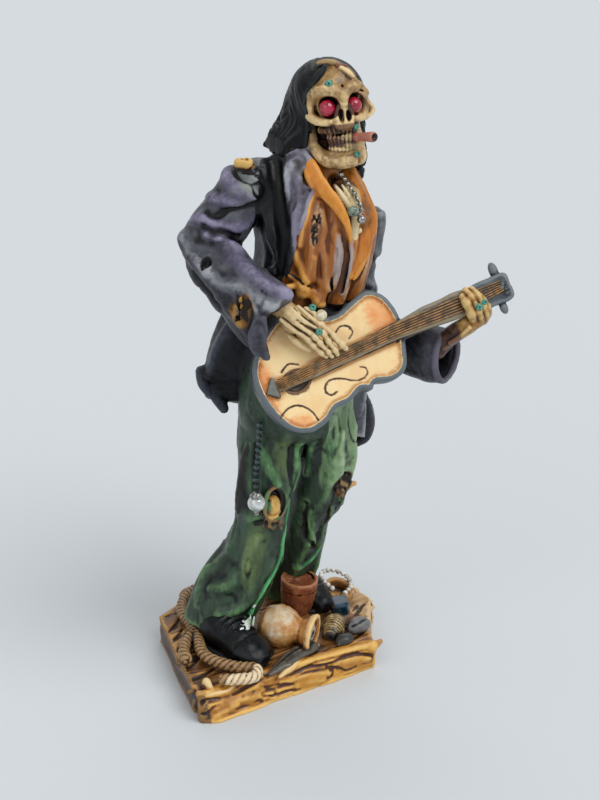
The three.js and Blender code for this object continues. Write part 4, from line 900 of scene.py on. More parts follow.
    clay.roughen((7, 7, 12), 0.45, 41)
    clay.roughen(2.4, 0.08, 42)
    ash = ramp(x, 33, 37) * ramp(z, 176, 184) * ramp(y, 4, -4)
    clay.zone("ash", ash)
    clay.zone("painted_sleeve_shade", painted_sleeve_shade)
    cloth = paintedResin("slate and violet painted cloth resin", paints(
        "42444B 676971 A0A2A9 0E0E12", tint="504C62", edge=0.5, crest=0.6, hollow=0.7, pocket=1.0, mottle=13,
        rough=0.4, varnish=0.06, gloss=0.28, bump=0.18,
    ), {
        # painted shade on the sleeves
        "painted_sleeve_shade": paints("17181C 26272D 50505C 08080A", tint="322A3C", edge=0.5, crest=0.4),
        "tails": paints("0A0C11 14171F 3A3E4A 040406", edge=0.5, crest=0.3),
        "ash": paints("4C4E54 6E7077 90939A 0E0E11", edge=0.4, crest=0.3, pocket=1.1, hollow=1.1),
        "violet": paints("3C3948 5E5A70 9690AA 14121A", edge=0.5, crest=0.4, hollow=1.0),
        "lapel": paints("47444F 666270 8A8499 1E1C24", edge=0.5, crest=0.3),
        "grey": paints("3E3B3C 5E5A58 85807C 2A2827", edge=0.3),
        "cracked": paints("3F4343 5E6262 858A88 0E0E10"),
        "inside": paints("090A0D 0F1116 2A2D36 050507", edge=0.4, crest=0.2),
        "bone": paints("7E5C28 B0823E DCB468 2A180A", hollow=1.2),
        "torn": paints("4E3214 7A5420 A87C3A 20130A", hollow=1.1, pocket=0.7),
        "cuff": paints("1E1F26 34343C 6A6674 0C0D10"),
    })
    clay.skin("jacket", cloth, fine=1.5, wide=4.5, thin=0.004)


# Shirt: deep folds, broad collar flaps laid open over the bones, a cracked patch
def shirtShape(angle, t):
    out, lift = drape([(50, 56, 6, 4, 0, 0.9), (71, 74, 6, 4, 0, 0.85), (90, 90, 6, 5, 0, 0.85),
        (108, 105, 6, 4.4, 0, 0.85)])(angle, t)
    return out - 0.6, 20 * 0.36 * np.cos(angle) * smooth(t, 0.5, 0.9)


rightCollar = [
    (9.6, -10, 257.6, 2.2, 1.8), (10.2, -20.4, 255.4, 2.7, 1.7), (10.6, -26, 249.8, 3.1, 1.6),
    (12, -31, 244.8, 3.2, 1.5), (14.4, -35, 239.6, 2.9, 1.5), (16.6, -37.8, 234.2, 2.2, 1.4),
    (18.3, -39.3, 228.4, 1.3, 1.3), (19.4, -39.4, 223, 0.8, 0.9),
]
leftCollar = [
    (32.6, -10, 248, 2.4, 2.6), (31.8, -20, 246.4, 2.8, 2.4), (32.8, -26, 240.4, 3.2, 2.4),
    (34.4, -30.4, 233.4, 3.8, 2.4), (34.6, -32.8, 228.2, 4, 2.4), (30.8, -35.4, 222.6, 3.5, 2.2),
    (28, -36.4, 216.8, 3.4, 2), (25, -36.6, 211, 2.6, 1.8), (22, -36.4, 204, 1.4, 1.2),
]
shirtFolds = [  # points, radii, share raised, colour zone
    ([(15.4, -34.6, 225), (15, -34.4, 218.4), (14.4, -34, 212.2), (14.7, -33.7, 205.9), (14.6, -32.4, 198)],
    (1, 1.7, 1.8, 1.6, 1), 0.5, "lilac"), ([(17.6, -35.6, 221), (17.4, -35.4, 213.5),
    (16.8, -34.6, 207.3), (16.2, -33.4, 200)], (0.8, 1.1, 1.1, 0.7), 0.5, "lilac"),
    ([(20.2, -38.4, 222), (21.2, -37, 214.5), (20.8, -36.4, 209.9), (19.8, -35.8, 205.4),
    (18.4, -34.4, 197)], (0.7, 0.9, 0.9, 0.8, 0.6), 0.6, "lilac"), ([(10.6, -30, 236),
    (10.4, -32.4, 228.2), (9.2, -32.4, 219.8), (10.2, -32.4, 211), (12, -32, 200)],
    (1, 1.7, 1.9, 1.7, 1.1), 0.35, "pale"), ([(5.4, -30.6, 216), (5.6, -31.4, 209), (7.6, -31.4, 200),
    (9.6, -30.6, 194)], (1.2, 1.9, 1.8, 1), 0.3, None), ([(9.4, -25.4, 242.4), (6.3, -26, 237.8),
    (4, -26.8, 233.1), (1.9, -27, 228.2), (0.7, -26.4, 221)], (0.8, 0.9, 0.9, 0.9, 0.7), 0.6, "bright"),
    ([(-0.4, -24.6, 217), (0.3, -27, 209.9), (2.4, -29.8, 204.6)], (1.2, 1.9, 1.3), 0.35, "bright"),
    ([(-4, -22, 207.4), (0.3, -27, 203), (4.8, -29.8, 199.2), (8.8, -30, 194.6)], (1, 1.4, 1.5, 1), 0.55,
    "bright"), ([(-4, -24, 202), (1.1, -28.4, 198.2), (6.9, -29.4, 194.8), (12, -30, 191.6)],
    (1.4, 2, 2, 1.4), 0.4, "bright"),
]
# Clefts between the folds, by points and radii, painted near-black as shade
shirtClefts = [
    ([(18.2, -38.2, 227), (18.9, -37.6, 220.3), (19.2, -36.4, 213.2), (18.4, -35.6, 207),
    (17.3, -34.2, 198)], (0.4, 0.6, 0.8, 0.9, 0.8)), ([(12.8, -33, 206), (12.9, -32.2, 201.8),
    (13.6, -31.6, 196.6), (14.4, -31, 191)], (0.4, 0.8, 1, 1)), ([(-4, -21.6, 209.2), (0.6, -26.2, 205),
    (5.2, -29, 201)], (0.3, 0.45, 0.3)),
]


def makeShirt():
    clay = Clay((-10, -46, 178), (56, 14, 260), 0.56, 3.5)
    stations = [(19, -5, 180, 22, 18), (19.5, -6, 192, 27.5, 22.5), (21.5, -8, 203, 28.5, 23.5),
        (23.5, -9.5, 218, 29.5, 24.5), (24.5, -9.5, 232, 28, 23.5), (26, -9.5, 243, 19, 17),
        (27, -9, 249, 9, 9)]
    clay.mesh(limb(stations, 120, 80, shape=shirtShape))
    x, y, z = clay.places()
    edge = np.interp(z, [190, 200, 206, 216, 226, 236, 244, 250], [-8, -6, -1.6, -0.4, 0.8, 3, 5, 6])
    clay.trim(edge - x)
    clay.trim(0.78 * (x - 42) + 0.62 * (y + 25))
    clay.trim(y + 11)
    clay.groove([(23.6, -29, 251), (24.4, -35.6, 242), (25, -38.6, 234), (22.8, -40.2, 226),
        (21, -40.6, 219)], [8.4, 8, 6.8, 4, 1.4], 1.4, smooth=20)
    clay.groove([(24, -25, 245), (24.8, -32, 235), (23.6, -35, 226)], [6, 5, 2.6], 1.2, smooth=14)
    for points, radii, rise, mask in shirtFolds:
        clay.fold(points, radii, rise, 2, mask=mask, spread=1.2)
    clay.mesh(limb(rightCollar, 48, 60, facing=(-0.55, -0.75, 0.25)), 0.5, mask="flap", spread=1.2)
    clay.stroke([(9.8, -20.6, 250.4), (9.8, -24.6, 245), (11.8, -30.6, 241.8), (13.9, -35.2, 239),
        (15.9, -37.8, 234), (17.4, -39.2, 228.6), (18.8, -39.6, 222.6)], [0.9, 1.1, 1.1, 1, 0.9, 0.8, 0.6],
        0.8, smooth=30, mask="flap", spread=1)
    # The inside of the left collar, painted a darker orange as shade
    inner = [(31, -16, 251, 2.4, 1.4), (31.6, -21.6, 247, 3.6, 1.6), (32, -26.4, 241, 4.4, 1.7),
        (32.4, -30.6, 234, 4.6, 1.7), (30.6, -34, 227, 3.6, 1.6), (26.6, -36, 219, 2, 1.4)]
    clay.mesh(limb(inner, 40, 40, facing=(-0.5, -0.85, 0.1)), 0.8, mask="deep", spread=1)
    clay.mesh(limb(leftCollar, 48, 70, facing=(-0.2, -0.95, 0.1)), 0.6, mask="flap", spread=1.2)
    clay.stroke([(34, -20, 247), (36, -28.6, 238.6), (38, -31.4, 229.4), (37, -34, 224.6), (33, -36, 220),
        (30.4, -37.4, 214.6), (26.6, -38, 209.6), (23.4, -37.4, 204)], [0.8, 1, 1.1, 1.1, 1, 1, 0.9, 0.7],
        0.8, smooth=36, mask="flap", spread=1)
    clay.stroke([(9.6, -18, 255), (9.8, -22, 251.4), (10.4, -25.6, 247.6), (11.6, -29, 243.6)],
        [1.4, 1.9, 1.9, 1.4], 1.4, smooth=16, mask="flap", spread=1)
    clay.stroke([(8.4, -20, 254.4), (7.9, -23, 250.6), (8.4, -25.6, 247)], [1, 1.6, 1.2], 1, smooth=12,
        mask="flap", spread=1)
    for points, radii in shirtClefts:
        clay.crack(points, radii, 0.85, 0.6, mask="cleft_shade", spread=0.8)
    for streak in range(5):
        shift = array((1.5 * streak - 3.2, 0.2 * streak, 0))
        clay.crack(array([(28.6, -37, 212), (26, -37.2, 206), (23.4, -36.4, 199), (21.6, -34.6, 192)])
            + shift, [0.3, 0.5, 0.5, 0.3], 0.6, 0.4)
    clay.stroke([(29.6, -37, 214), (26.4, -37.4, 206), (23, -36, 196)], [3.6, 4, 3.4], None, mask="peach",
        smooth=14, spread=2.6)
    # Painted shade: the shirt's lowest band is painted near-black like the clefts
    clay.zone("cleft_shade", np.maximum(clay.masks["cleft_shade"], ramp(z, 192.4, 190.4)))
    rng = np.random.default_rng(8)
    for crack in range(14):
        down = array((8.4, -29.4, 236.6)) + array((-0.3, -0.14, -1)) * rng.uniform(0, 11)
        start = down + rng.uniform(-1, 1, 3) * (2, 0.6, 1)
        run = [start + array((-0.25, -0.1, -1)) * step * 1.3 + rng.uniform(-0.8, 0.8, 3) * (1, 0.3, 0.5)
            for step in range(4)]
        clay.crack(run, [0.25, 0.42, 0.42, 0.25], 0.8, 0.2, mask="crack", spread=0.3)
    clay.stroke([(9, -29, 238), (7.6, -30.6, 230), (5.4, -30.8, 223)], [1.2, 1.8, 1.4], None, mask="cracked",
        smooth=10, spread=2.2)
    clay.crease((5, 5, 18), 0.09, 0.4, 53)
    clay.roughen((4, 4, 12), 0.35, 51)
    clay.roughen((1.2, 1.2, 4), 0.07, 52)
    cloth = paintedResin("orange painted cloth resin", paints(
        "8A4E20 B06A2C CC8C4E 66360F", tint="965A2E", edge=0.4, crest=0.4, pocket=0.5, hollow=0.7, mottle=10,
        stretch=(1, 1, 0.35), rough=0.4, bump=0.12,
    ), {
        "cracked": paints("6A3E22 8E5A34 B8906A 28140A", edge=0.7),
        "peach": paints("8E5A34 B8805A D8AE8A 4A2814", edge=0.8),
        "pale": paints("9A5E30 B87A46 CE9C6C 66381C", edge=0.3),
        "lilac": paints("5E4A48 84706C B0A09C 2A1C18", edge=0.7),
        "bright": paints("B06A1E CE862A E8AC58 6A3810", edge=0.5),
        # painted shade on the collar's inside
        "deep": paints("5E340E 8E5216 B87428 2E1808"),
        "flap": paints("B4671C CC7E24 E29A40 8A4A14", edge=0.35, crest=0.3, pocket=0.3, hollow=0.5),
        # painted shade in the clefts and along the lowest band
        "cleft_shade": paints("140C08 1E120C 3A2418 0A0604", edge=0.1, crest=0.1),
        "crack": paints("1C100A 2A1A10 5A3A20 0C0604"),
    })
    clay.skin("shirt", cloth, fine=1.0, wide=3.2, thin=0.004)


# Trousers: torn at both knees and hems, with deep folds
rightLeg = [
    (-25.5, 10, 21, 12.5, 15), (-22.5, 9, 27, 14.4, 15.6), (-17.5, 6.6, 37, 15, 15.4),
    (-12.4, 4.4, 46, 14.2, 14.6), (-9, 2.6, 53, 13, 13.6), (-7, 1, 60, 13.8, 13.6),
    (-4, -1.2, 76, 13.4, 13), (-2.5, -1.6, 90, 13.8, 13.4), (1, -0.7, 105, 15.2, 14.4),
    (4, 1, 122, 16.6, 16), (7, 1, 138, 15, 15),
]
rightFolds = [
    (128, 150, 13, 2.2, 0, 0.55), (60, 100, 12, 1.2, 0, 0.5), (-25, -5, 13, 2, 0, 0.6),
    (215, 190, 14, 2, 0, 0.6), (280, 300, 16, 2, 0, 0.6), (150, 60, 10, 1.2, 0.45, 0.75),
    (95, 130, 10, 1.2, 0.62, 1),
]
leftLeg = [
    (27, 25, 17, 11.5, 13), (27, 21, 27, 11.5, 12.5), (27.2, 15, 40, 10.6, 11.5),
    (27.4, 9.5, 54, 10.4, 10.5), (27.5, 4.5, 69, 11.6, 11), (29.5, -1.5, 84, 13.6, 12.8),
    (30.5, -6, 100, 13.9, 13.2), (29, -8, 116, 14.2, 13.6), (26, -6, 136, 14, 14),
]
leftFolds = [
    (100, 150, 12, 2.2, 0, 0.5), (40, 80, 12, 1.6, 0, 0.6), (170, 175, 12, 2, 0, 0.55),
    (230, 250, 15, 2, 0, 0.6), (140, 70, 11, 1.8, 0.5, 0.8), (60, 85, 10, 1.8, 0.58, 1),
    (120, 135, 12, 1.5, 0.6, 1),
]
seat = [(15.5, -1, 120, 16, 12), (15.4, -2.6, 126, 27, 19), (15.4, -3.6, 138, 30, 21.5),
    (17.5, -4.4, 152, 30, 21.5), (20, -5, 168, 28, 21)]


def legShape(folds, drop):
    def shape(angle, t):
        out, lift = drape(folds)(angle, t)
        hem = np.where(t < 0.12, 5 * drop * (1 - t / 0.12) * np.cos(angle - math.radians(150)), 0)
        return out, hem

    return shape


def makeTrousers():
    clay = Clay((-46, -32, 13), (50, 44, 172), 0.7, 3.5)
    clay.mesh(limb(rightLeg, 96, 110, shape=legShape(rightFolds, 1)))
    clay.mesh(limb(leftLeg, 96, 110, shape=legShape(leftFolds, 0.6)), 1.2)
    clay.mesh(limb(seat, 96, 60), 3)
    folds = [
        ([(-9.6, -10.4, 118), (-8, -12.4, 112), (-6.2, -13.4, 106), (-3.4, -15, 100)], (1.4, 2.2, 2.4, 1.4),
        "lit"), ([(8, -14.6, 124), (7, -15.2, 117), (7, -15, 109), (10, -13, 101), (9, -13.4, 92)],
        (1, 1.7, 1.9, 1.6, 1), "lit"), ([(15.4, -15, 122), (16.4, -13.4, 112.5), (16.8, -11.4, 104.5),
        (16, -9.4, 97)], (0.9, 1.3, 1.3, 0.8), "lit"), ([(-14.6, -4, 119), (-16.4, -2, 110),
        (-17, -1, 96), (-17.4, 0, 84)], (0.5, 2, 2.2, 1.6), "dark"), ([(-15, -9, 82.5),
        (-11, -12.6, 84.6), (-7, -14.6, 83.4), (-2.8, -15.6, 84), (3, -14, 89.6)],
        (1.2, 1.7, 1.8, 1.6, 1), None), ([(-31, 4, 44), (-26, -3, 47), (-20, -7, 54), (-16, -9, 62),
        (-13, -11, 72)], (2, 3.4, 3.4, 3, 2), None), ([(-35, 8, 34), (-31, 10, 42), (-27, 11, 51)],
        (2, 2.6, 2), None), ([(-33, -6, 33), (-28, -9, 34.4), (-21, -9, 36), (-16, -9, 40)],
        (1.6, 2.6, 2.6, 1.6), None), ([(38, -14, 118), (42, -10, 106), (41, -9, 94)], (1.4, 2.2, 1.6),
        None), ([(28, -19.6, 120), (27.4, -20, 110), (28, -19, 100)], (1.2, 2, 1.4), None),
        ([(20.7, -19.4, 126), (21.6, -20, 118), (23.6, -20, 107), (25.6, -19, 97)], (0.8, 1.2, 1.3, 0.9),
        "lit"), ([(29.6, -12, 78), (31, -8.4, 69), (31.4, -5, 61), (31, -1, 50)], (1.4, 2, 2, 1.4), None),
        ([(22, -6, 76), (22.4, -4.6, 64), (23.6, -1, 54)], (1.2, 1.8, 1), None),
        ([(-3, 12, 120), (-5, 12, 104), (-8, 12, 88)], (1.6, 2.4, 1.6), None),
        ([(31, 10, 110), (32, 12, 92), (30, 20, 66)], (1.6, 2.2, 1.6), None),
        ([(-16, 18, 60), (-24, 24, 44), (-28, 25, 32)], (1.8, 2.6, 2), None),
    ]
    for points, radii, mask in folds:
        clay.fold(points, radii, 0.36, 3, mask=mask, spread=2)
    clay.stroke([(-15.6, -8.6, 31), (-12.6, -9.6, 38), (-7, -10, 45), (-2, -9.8, 51.3), (0.2, -12, 60),
        (-0.1, -13.8, 68), (1.6, -14, 77), (4, -13, 86)], [1.3, 1.3, 1.2, 1.1, 0.9, 0.7, 0.5, 0.3], 1.2,
        smooth=40, mask="bright", spread=1.2)
    clay.stroke([(19, -5.6, 79), (20.4, -5.4, 71), (23, -4.8, 62), (26.6, -2.6, 53.6)], [1.1, 1.2, 1.2, 0.8],
        1, smooth=20, mask="lit", spread=1.2)
    clay.fold([(17, 3, 38), (22, 5, 39), (27, 4, 42), (31, 2, 46), (33.4, -0.4, 53), (34, -3, 62)],
        [1, 1.4, 1.5, 1.4, 1.2, 0.8], 0.3, 2, mask="bright", spread=1)
    for points, radius in (([(22.4, -5.4, 84), (20, -4, 70), (23, -1.6, 58), (27, 0, 50)], 1.2),
            ([(12.6, -12, 122), (13, -11.4, 110), (13.6, -9, 99)], 1.3), ([(4.4, -13.8, 118),
            (3.4, -14.6, 108), (4, -14.6, 98)], 0.9), ([(-12.6, -8, 120), (-12.4, -8.4, 106), (-12, -9, 94)],
            1.3), ([(-13, -10, 80), (-9, -13, 80.6), (-4, -14.4, 80)], 1),
            ([(31.6, -16, 97), (34.6, -15, 92), (36, -13, 84)], 1)):
        clay.crack(points, radius, 0.55, 1.6)
    clay.scoop((-5, -15, 90.6), (5.2, 3.4, 7.2), 0.8, mask="hole", spread=1)
    clay.lump((-6.8, -14.6, 89.6), (4.4, 4.2, 5.2), 0.5, mask="bone", spread=0.6)
    clay.stroke([(-10, -15, 86), (-7, -16.4, 84.6), (-3.4, -15.6, 86)], 1.2, 0.8, smooth=8, mask="bone",
        spread=0.8)
    rim = [(-6.5 + 5.8 * math.cos(a), -14.8 + 1.4 * math.cos(a), 90.6 + 7.8 * math.sin(a))
        for a in np.linspace(0, 2 * math.pi, 17)]
    clay.stroke(rim, 0.8, 0.8, smooth=40, mask="torn", spread=1)
    rng = np.random.default_rng(6)
    for strand in range(9):
        start = array((-11 + 1.3 * strand, -15 - 0.5 * math.sin(strand), 84 + rng.uniform(-1, 1)))
        clay.fold([start, start + (rng.uniform(-1, 1), 0.4, -3.4), start + (rng.uniform(-1.6, 1.6), 0.8, -7)],
            [0.7, 0.6, 0.3], 0.6, 0.5, mask="torn", spread=0.8)
    clay.scoop((33, -18.4, 90.4), (5.6, 3.6, 6.6), 1, mask="torn", spread=3)
    clay.lump((33, -16, 90), (5, 3.4, 6), 0.8, mask="torn", spread=2)
    for strand in range(16):
        start = array((28.6 + 9 * rng.random(), -18.6, 84 + 13 * rng.random()))
        run = [start, start + (rng.uniform(-1.4, 1.4), 0.2, -2.4), start + (rng.uniform(-1.6, 1.6), 0.4,
            -5.4)]
        clay.fold(run, [0.5, 0.8, 0.4], 0.6, 0.4, carve=strand % 2 == 0,
            mask="hole" if strand % 2 == 0 else "torn", spread=0.7)
    for strand in range(12):
        start = array((26 + 7 * rng.random(), -14 + 6 * strand / 11, 84 - 2.6 * strand + 3 * rng.random()))
        clay.crack([start, start + (0.8, 0.6, -3), start + (0.4, 1.4, -7)], [0.3, 0.6, 0.3], 0.7, 0.3,
            mask="hole", spread=0.5)
    clay.stroke([(35.4, -16.6, 88.6), (38.6, -18.6, 90)], [1.6, 1.2], 0.8, mask="tag", spread=0.8)
    for strand in range(11):
        share = strand / 10
        top = array((-14 - 8 * share, -9.4 - 2.4 * share, 35 - 4.4 * share)) + rng.uniform(-0.6, 0.6, 3)
        low = array((-20 - 13 * share, -16.8 - 1.4 * math.sin(3 * share),
            29.4 - 3.4 * share)) + rng.uniform(-1, 1, 3) * (2, 1, 0.3)
        clay.stroke([top, (top + low) / 2 + (0, -0.9, 1), low], [0.6, 0.5, 0.46], 0.2, smooth=8,
            mask="threads", spread=0.4)
    clay.groove([(-26, 10, 14), (-24, 10, 20)], [9.5, 10], 1)
    clay.groove([(27, 25, 12), (27, 23.4, 19)], [7.6, 8], 1)
    clay.crease((7, 7, 22), 0.08, 0.5, 63)
    clay.roughen((5, 5, 10), 0.6, 61)
    clay.roughen(1.8, 0.12, 62)
    x, y, z = clay.places()
    # Painted shade: the outer side of the right leg above the knee is painted near-black
    clay.zone("dark", np.maximum(clay.masks["dark"], ramp(x, -13.4, -16.4) * ramp(z, 82, 90)
        * ramp(y, -12, -8)))
    panel = ramp(x, 19, 21) * ramp(z, 86, 100) * ramp(y, 4, -5)
    clay.zone("panel", panel)
    calf = 0.9 * np.exp(-(((x + 13 + 0.2 * (70 - z)) / 6) ** 2) - ((z - 62) / 22) ** 2) * ramp(y, -4, -8)
    haze = 0.75 * np.exp(-(((x + 1) / 7) ** 2) - ((z - 112) / 16) ** 2) * ramp(y, -6, -10)
    clay.zone("olive", np.maximum(calf, haze))
    cloth = paintedResin("green painted cloth resin", paints(
        "1E2B22 39523E 648A5A 080E0B", tint="2A3A32", edge=0.35, crest=0.6, hollow=0.7, pocket=0.9, mottle=11,
        rough=0.4, varnish=0.1, gloss=0.35, bump=0.15, stretch=(1, 1, 0.4),
    ), {
        # painted shade on the right leg's outer side
        "dark": paints("0C0D0B 171712 2C2922 040504", edge=0.3, crest=0.3),
        "panel": paints("5E8058 8AAA7C B0CC9E 2E3A26", tint="7A7A50", edge=0.5, crest=0.4, pocket=0.7),
        "olive": paints("3E5436 64784A 88986A 182016", edge=0.4, crest=0.4),
        "lit": paints("35573A 4E7E4C 80AA72 16241A", edge=0.4, crest=0.4),
        "bright": paints("1E6438 2E8A4C 64BC78 0E3A1E", edge=0.4, pocket=0.3),
        "torn": paints("3A2A1A 64482C 96764C 120C0A", edge=0.7),
        "tag": paints("A06428 C88A46 E0B074 3A2210"),
        "hole": paints("100C08 1A120C 3A2A1C 080504", edge=0.2),
        "bone": paints("A06C24 C8923A E4B868 3A2210"),
        "threads": paints("8A9690 B8C2BC ECF0EC 4A524E", edge=0.8),
    })
    clay.skin("trousers", cloth, fine=1.3, wide=4, thin=0.004)


# Shoes: black, glossy, showing under the hems
def makeShoes():
    clay = Clay((-47, -40, 13), (52, 42, 33), 0.55, 3)
    for toe, heel, girth in (((-22.5, -30), (-30, 13), 9.4), ((31, -7), (29, 33), 7)):
        stations = []
        for share, height, half, rise in ((-0.05, 17, 3, 2.5), (0.05, 20, 7, 7), (0.3, 23, girth, 10.5),
                (0.52, 22, girth, 9.5), (0.76, 19.6, girth + 0.8, 7.4), (0.94, 18, girth - 1.5, 5),
                (1.02, 17.3, 3.5, 3)):
            stations.append((*(array(heel) * (1 - share) + array(toe) * share), height, half, rise))
        clay.mesh(limb(stations, 64, 60, facing=(0, 0, 1)))
        ahead = unit(array(toe) - array(heel))
        across = array((ahead[1], -ahead[0]))
        middle = array(heel) * 0.42 + array(toe) * 0.58
        for lace in range(3):
            spot = middle - ahead * 3.4 * lace
            line = [(*(spot + across * girth * w), 30 - 1.2 * w * w) for w in (-0.7, -0.3, 0.3, 0.7)]
            clay.fold(line, 0.7, 0.6, 0.5)
        sole = [(*(array(heel) + (array(toe) - array(heel)) * share + across * side * (girth + 0.4)), 15.8)
                for side in (-1, 1) for share in ((0.0, 0.3, 0.6, 0.9) if side < 0 else (0.9, 0.6, 0.3, 0.0))]
        clay.stroke(sole, 1.2, 0.8, smooth=40)
        vamp = [(*(middle + ahead * 7 + across * girth * w), 26 - 3 * abs(w)) for w in (-0.9, -0.4, 0.4, 0.9)]
        clay.crack(vamp, 0.6, 0.5, 0.4)
    clay.roughen(3, 0.3, 71)
    leather = paintedResin("black varnished shoe resin", paints(
        "06080A 0C1013 2C3238 030304", edge=0.35, crest=0.1, rough=0.32, varnish=0.05, gloss=0.25,
    ), {})
    clay.skin("shoes", leather, fine=1.1, wide=3, thin=0.01)


# Driftwood base: flowing grain, swirled eyes in front, a cream knot at the left end and broken tips
plankFront = [(-61, -32), (-40, -34), (-8, -37.5), (20, -40.5), (34, -43.5), (40, -30), (50, -19), (57.5, -9)]
plankToe = [(-61, -37), (-54, -40.6), (-21, -41.4), (4, -42.8), (34, -44), (40, -31), (50, -20), (57.5, -10)]
plankBack = [(-61, -29), (-57, -16), (-52.5, 0), (-46, 18), (-40, 38), (-18, 47), (25, 46), (57.5, 16)]
frontGrooves = [  # x and z along the front, and the radius
    ([(-44, 9.6), (-39.6, 10.3), (-36, 10.9), (-32.8, 11.2), (-28.5, 11.9), (-22, 12.6)], 0.9),
    ([(-61, 7.7), (-59.7, 10), (-57.1, 10.8), (-53.6, 10.6), (-50.9, 9.8)], 0.8),
    ([(-59.6, 6.6), (-57, 9), (-54, 9.2), (-51.4, 8.8)], 0.6), ([(-58.4, 5), (-55.6, 7), (-52.2, 7.4)],
    0.8), ([(-29.6, 9.7), (-26.1, 8.3), (-22.3, 7.8), (-18.5, 7.4), (-14.8, 6.6), (-13, 5.6)], 0.5),
    ([(-27.5, 7.9), (-24, 6.7), (-20.3, 6.2), (-17.5, 6.2), (-13.8, 5)], 0.5),
    ([(-30, 6), (-26.8, 6.5), (-24, 6), (-22, 4.9), (-23.4, 3.6), (-26, 3.9), (-29, 5)], 0.55),
    ([(-34.6, 3.2), (-31.8, 3.6), (-29.9, 2.8), (-31.4, 1.7), (-33.5, 1.9)], 0.6),
    ([(-44.3, 3.3), (-38.9, 3.1), (-33.4, 2), (-27.9, 2.6), (-22.5, 1.3), (-18, 2), (-13.4, 1)], 0.4),
    ([(-22.4, 1.9), (-19.6, 3.3), (-15.6, 3.4), (-11.4, 2.6), (-8.5, 2.1)], 0.4),
    ([(-10.5, 8.8), (-7, 9.2), (-3.3, 9), (0.8, 8.4), (5.6, 7.6)], 0.5),
    ([(-13, 10.2), (-7.7, 11), (-4, 11.2), (0.4, 10.9), (7.9, 10.1), (14.3, 10.3), (20.8, 10.5),
    (27.2, 9.8), (33, 7.5)], 0.7), ([(-6, 12.4), (1, 12.6), (8, 12.2), (14.7, 12.2), (24, 12.4),
    (30, 12)], 0.6), ([(7, 9.4), (7.2, 8.2), (10.2, 7.6), (13.9, 6.2), (16.9, 4), (19.6, 3.7), (23, 4.4)],
    0.55), ([(8.4, 6.9), (10.1, 5.6), (8.8, 3.4), (7.3, 2.6)], 0.6),
    ([(9, 6.6), (12, 6), (15.3, 3.4)], 0.4), ([(27.7, 9), (32, 6.6), (30.5, 5.4)], 0.7),
    ([(-40, 7.2), (-39, 7.4)], 0.9), ([(-34, 8), (-33, 8.2)], 0.8), ([(-52, 3), (-48, 2.4), (-43, 1.4)],
    0.4),
]
frontRidges = [
    ([(-46, 6), (-40.5, 6.6), (-35.4, 5.8), (-31, 5.8)], 1.8), ([(-19, 10), (-14.5, 11.4), (-8, 13),
    (-1, 13.8)], 1.3), ([(-18.2, 8.6), (-12.9, 8), (-7.6, 7.8), (-2.3, 7.3), (3.2, 6.4), (7, 5.4)], 1.7),
    ([(0.7, 12), (6.5, 11.4), (14.2, 11.6), (21, 12), (29, 12), (34.6, 12.4)], 1.6),
    ([(11.8, 8.8), (18.5, 8.6), (25.4, 8.2), (30.7, 6.8)], 1.6), ([(-57, 2.6), (-50, 4.4), (-44, 5)], 2),
    ([(-10, 4.6), (-2, 4.2), (4, 3)], 1.6),
]
topGrooves = [
    [(-58, -20), (-50, -19), (-43, -17)], [(-57, -11), (-50, -9), (-45, -6)],
    [(-54, -2), (-47, 1), (-41, 5)], [(-52, 6), (-46, 8), (-40, 12)], [(-48, 14), (-42, 17), (-36, 22)],
    [(-45, 24), (-38, 27), (-30, 33)], [(30, -30), (38, -25), (46, -20)],
    [(28, -34), (34, -32), (39, -29)], [(40, -18), (48, -12), (56, -8)], [(44, -12), (50, -8), (57, -3)],
    [(50, -4), (54, 2), (57, 8)], [(52, 6), (55, 10), (57, 14)], [(38, 16), (46, 15), (56, 15)],
    [(30, 24), (40, 23), (50, 22)], [(20, 32), (32, 31), (44, 29)], [(10, 39), (24, 38), (36, 36)],
    [(-10, 42), (6, 43), (22, 42)], [(-40, -30), (-24, -35), (-10, -36)], [(-6, 20), (4, 24), (14, 26)],
    [(-20, 32), (-8, 34), (6, 34)],
]


# The front edge at a share of the height, from the toe to the top
def frontEdge(x, rise):
    return np.interp(x, *zip(*plankToe)) * (1 - rise) + np.interp(x, *zip(*plankFront)) * rise


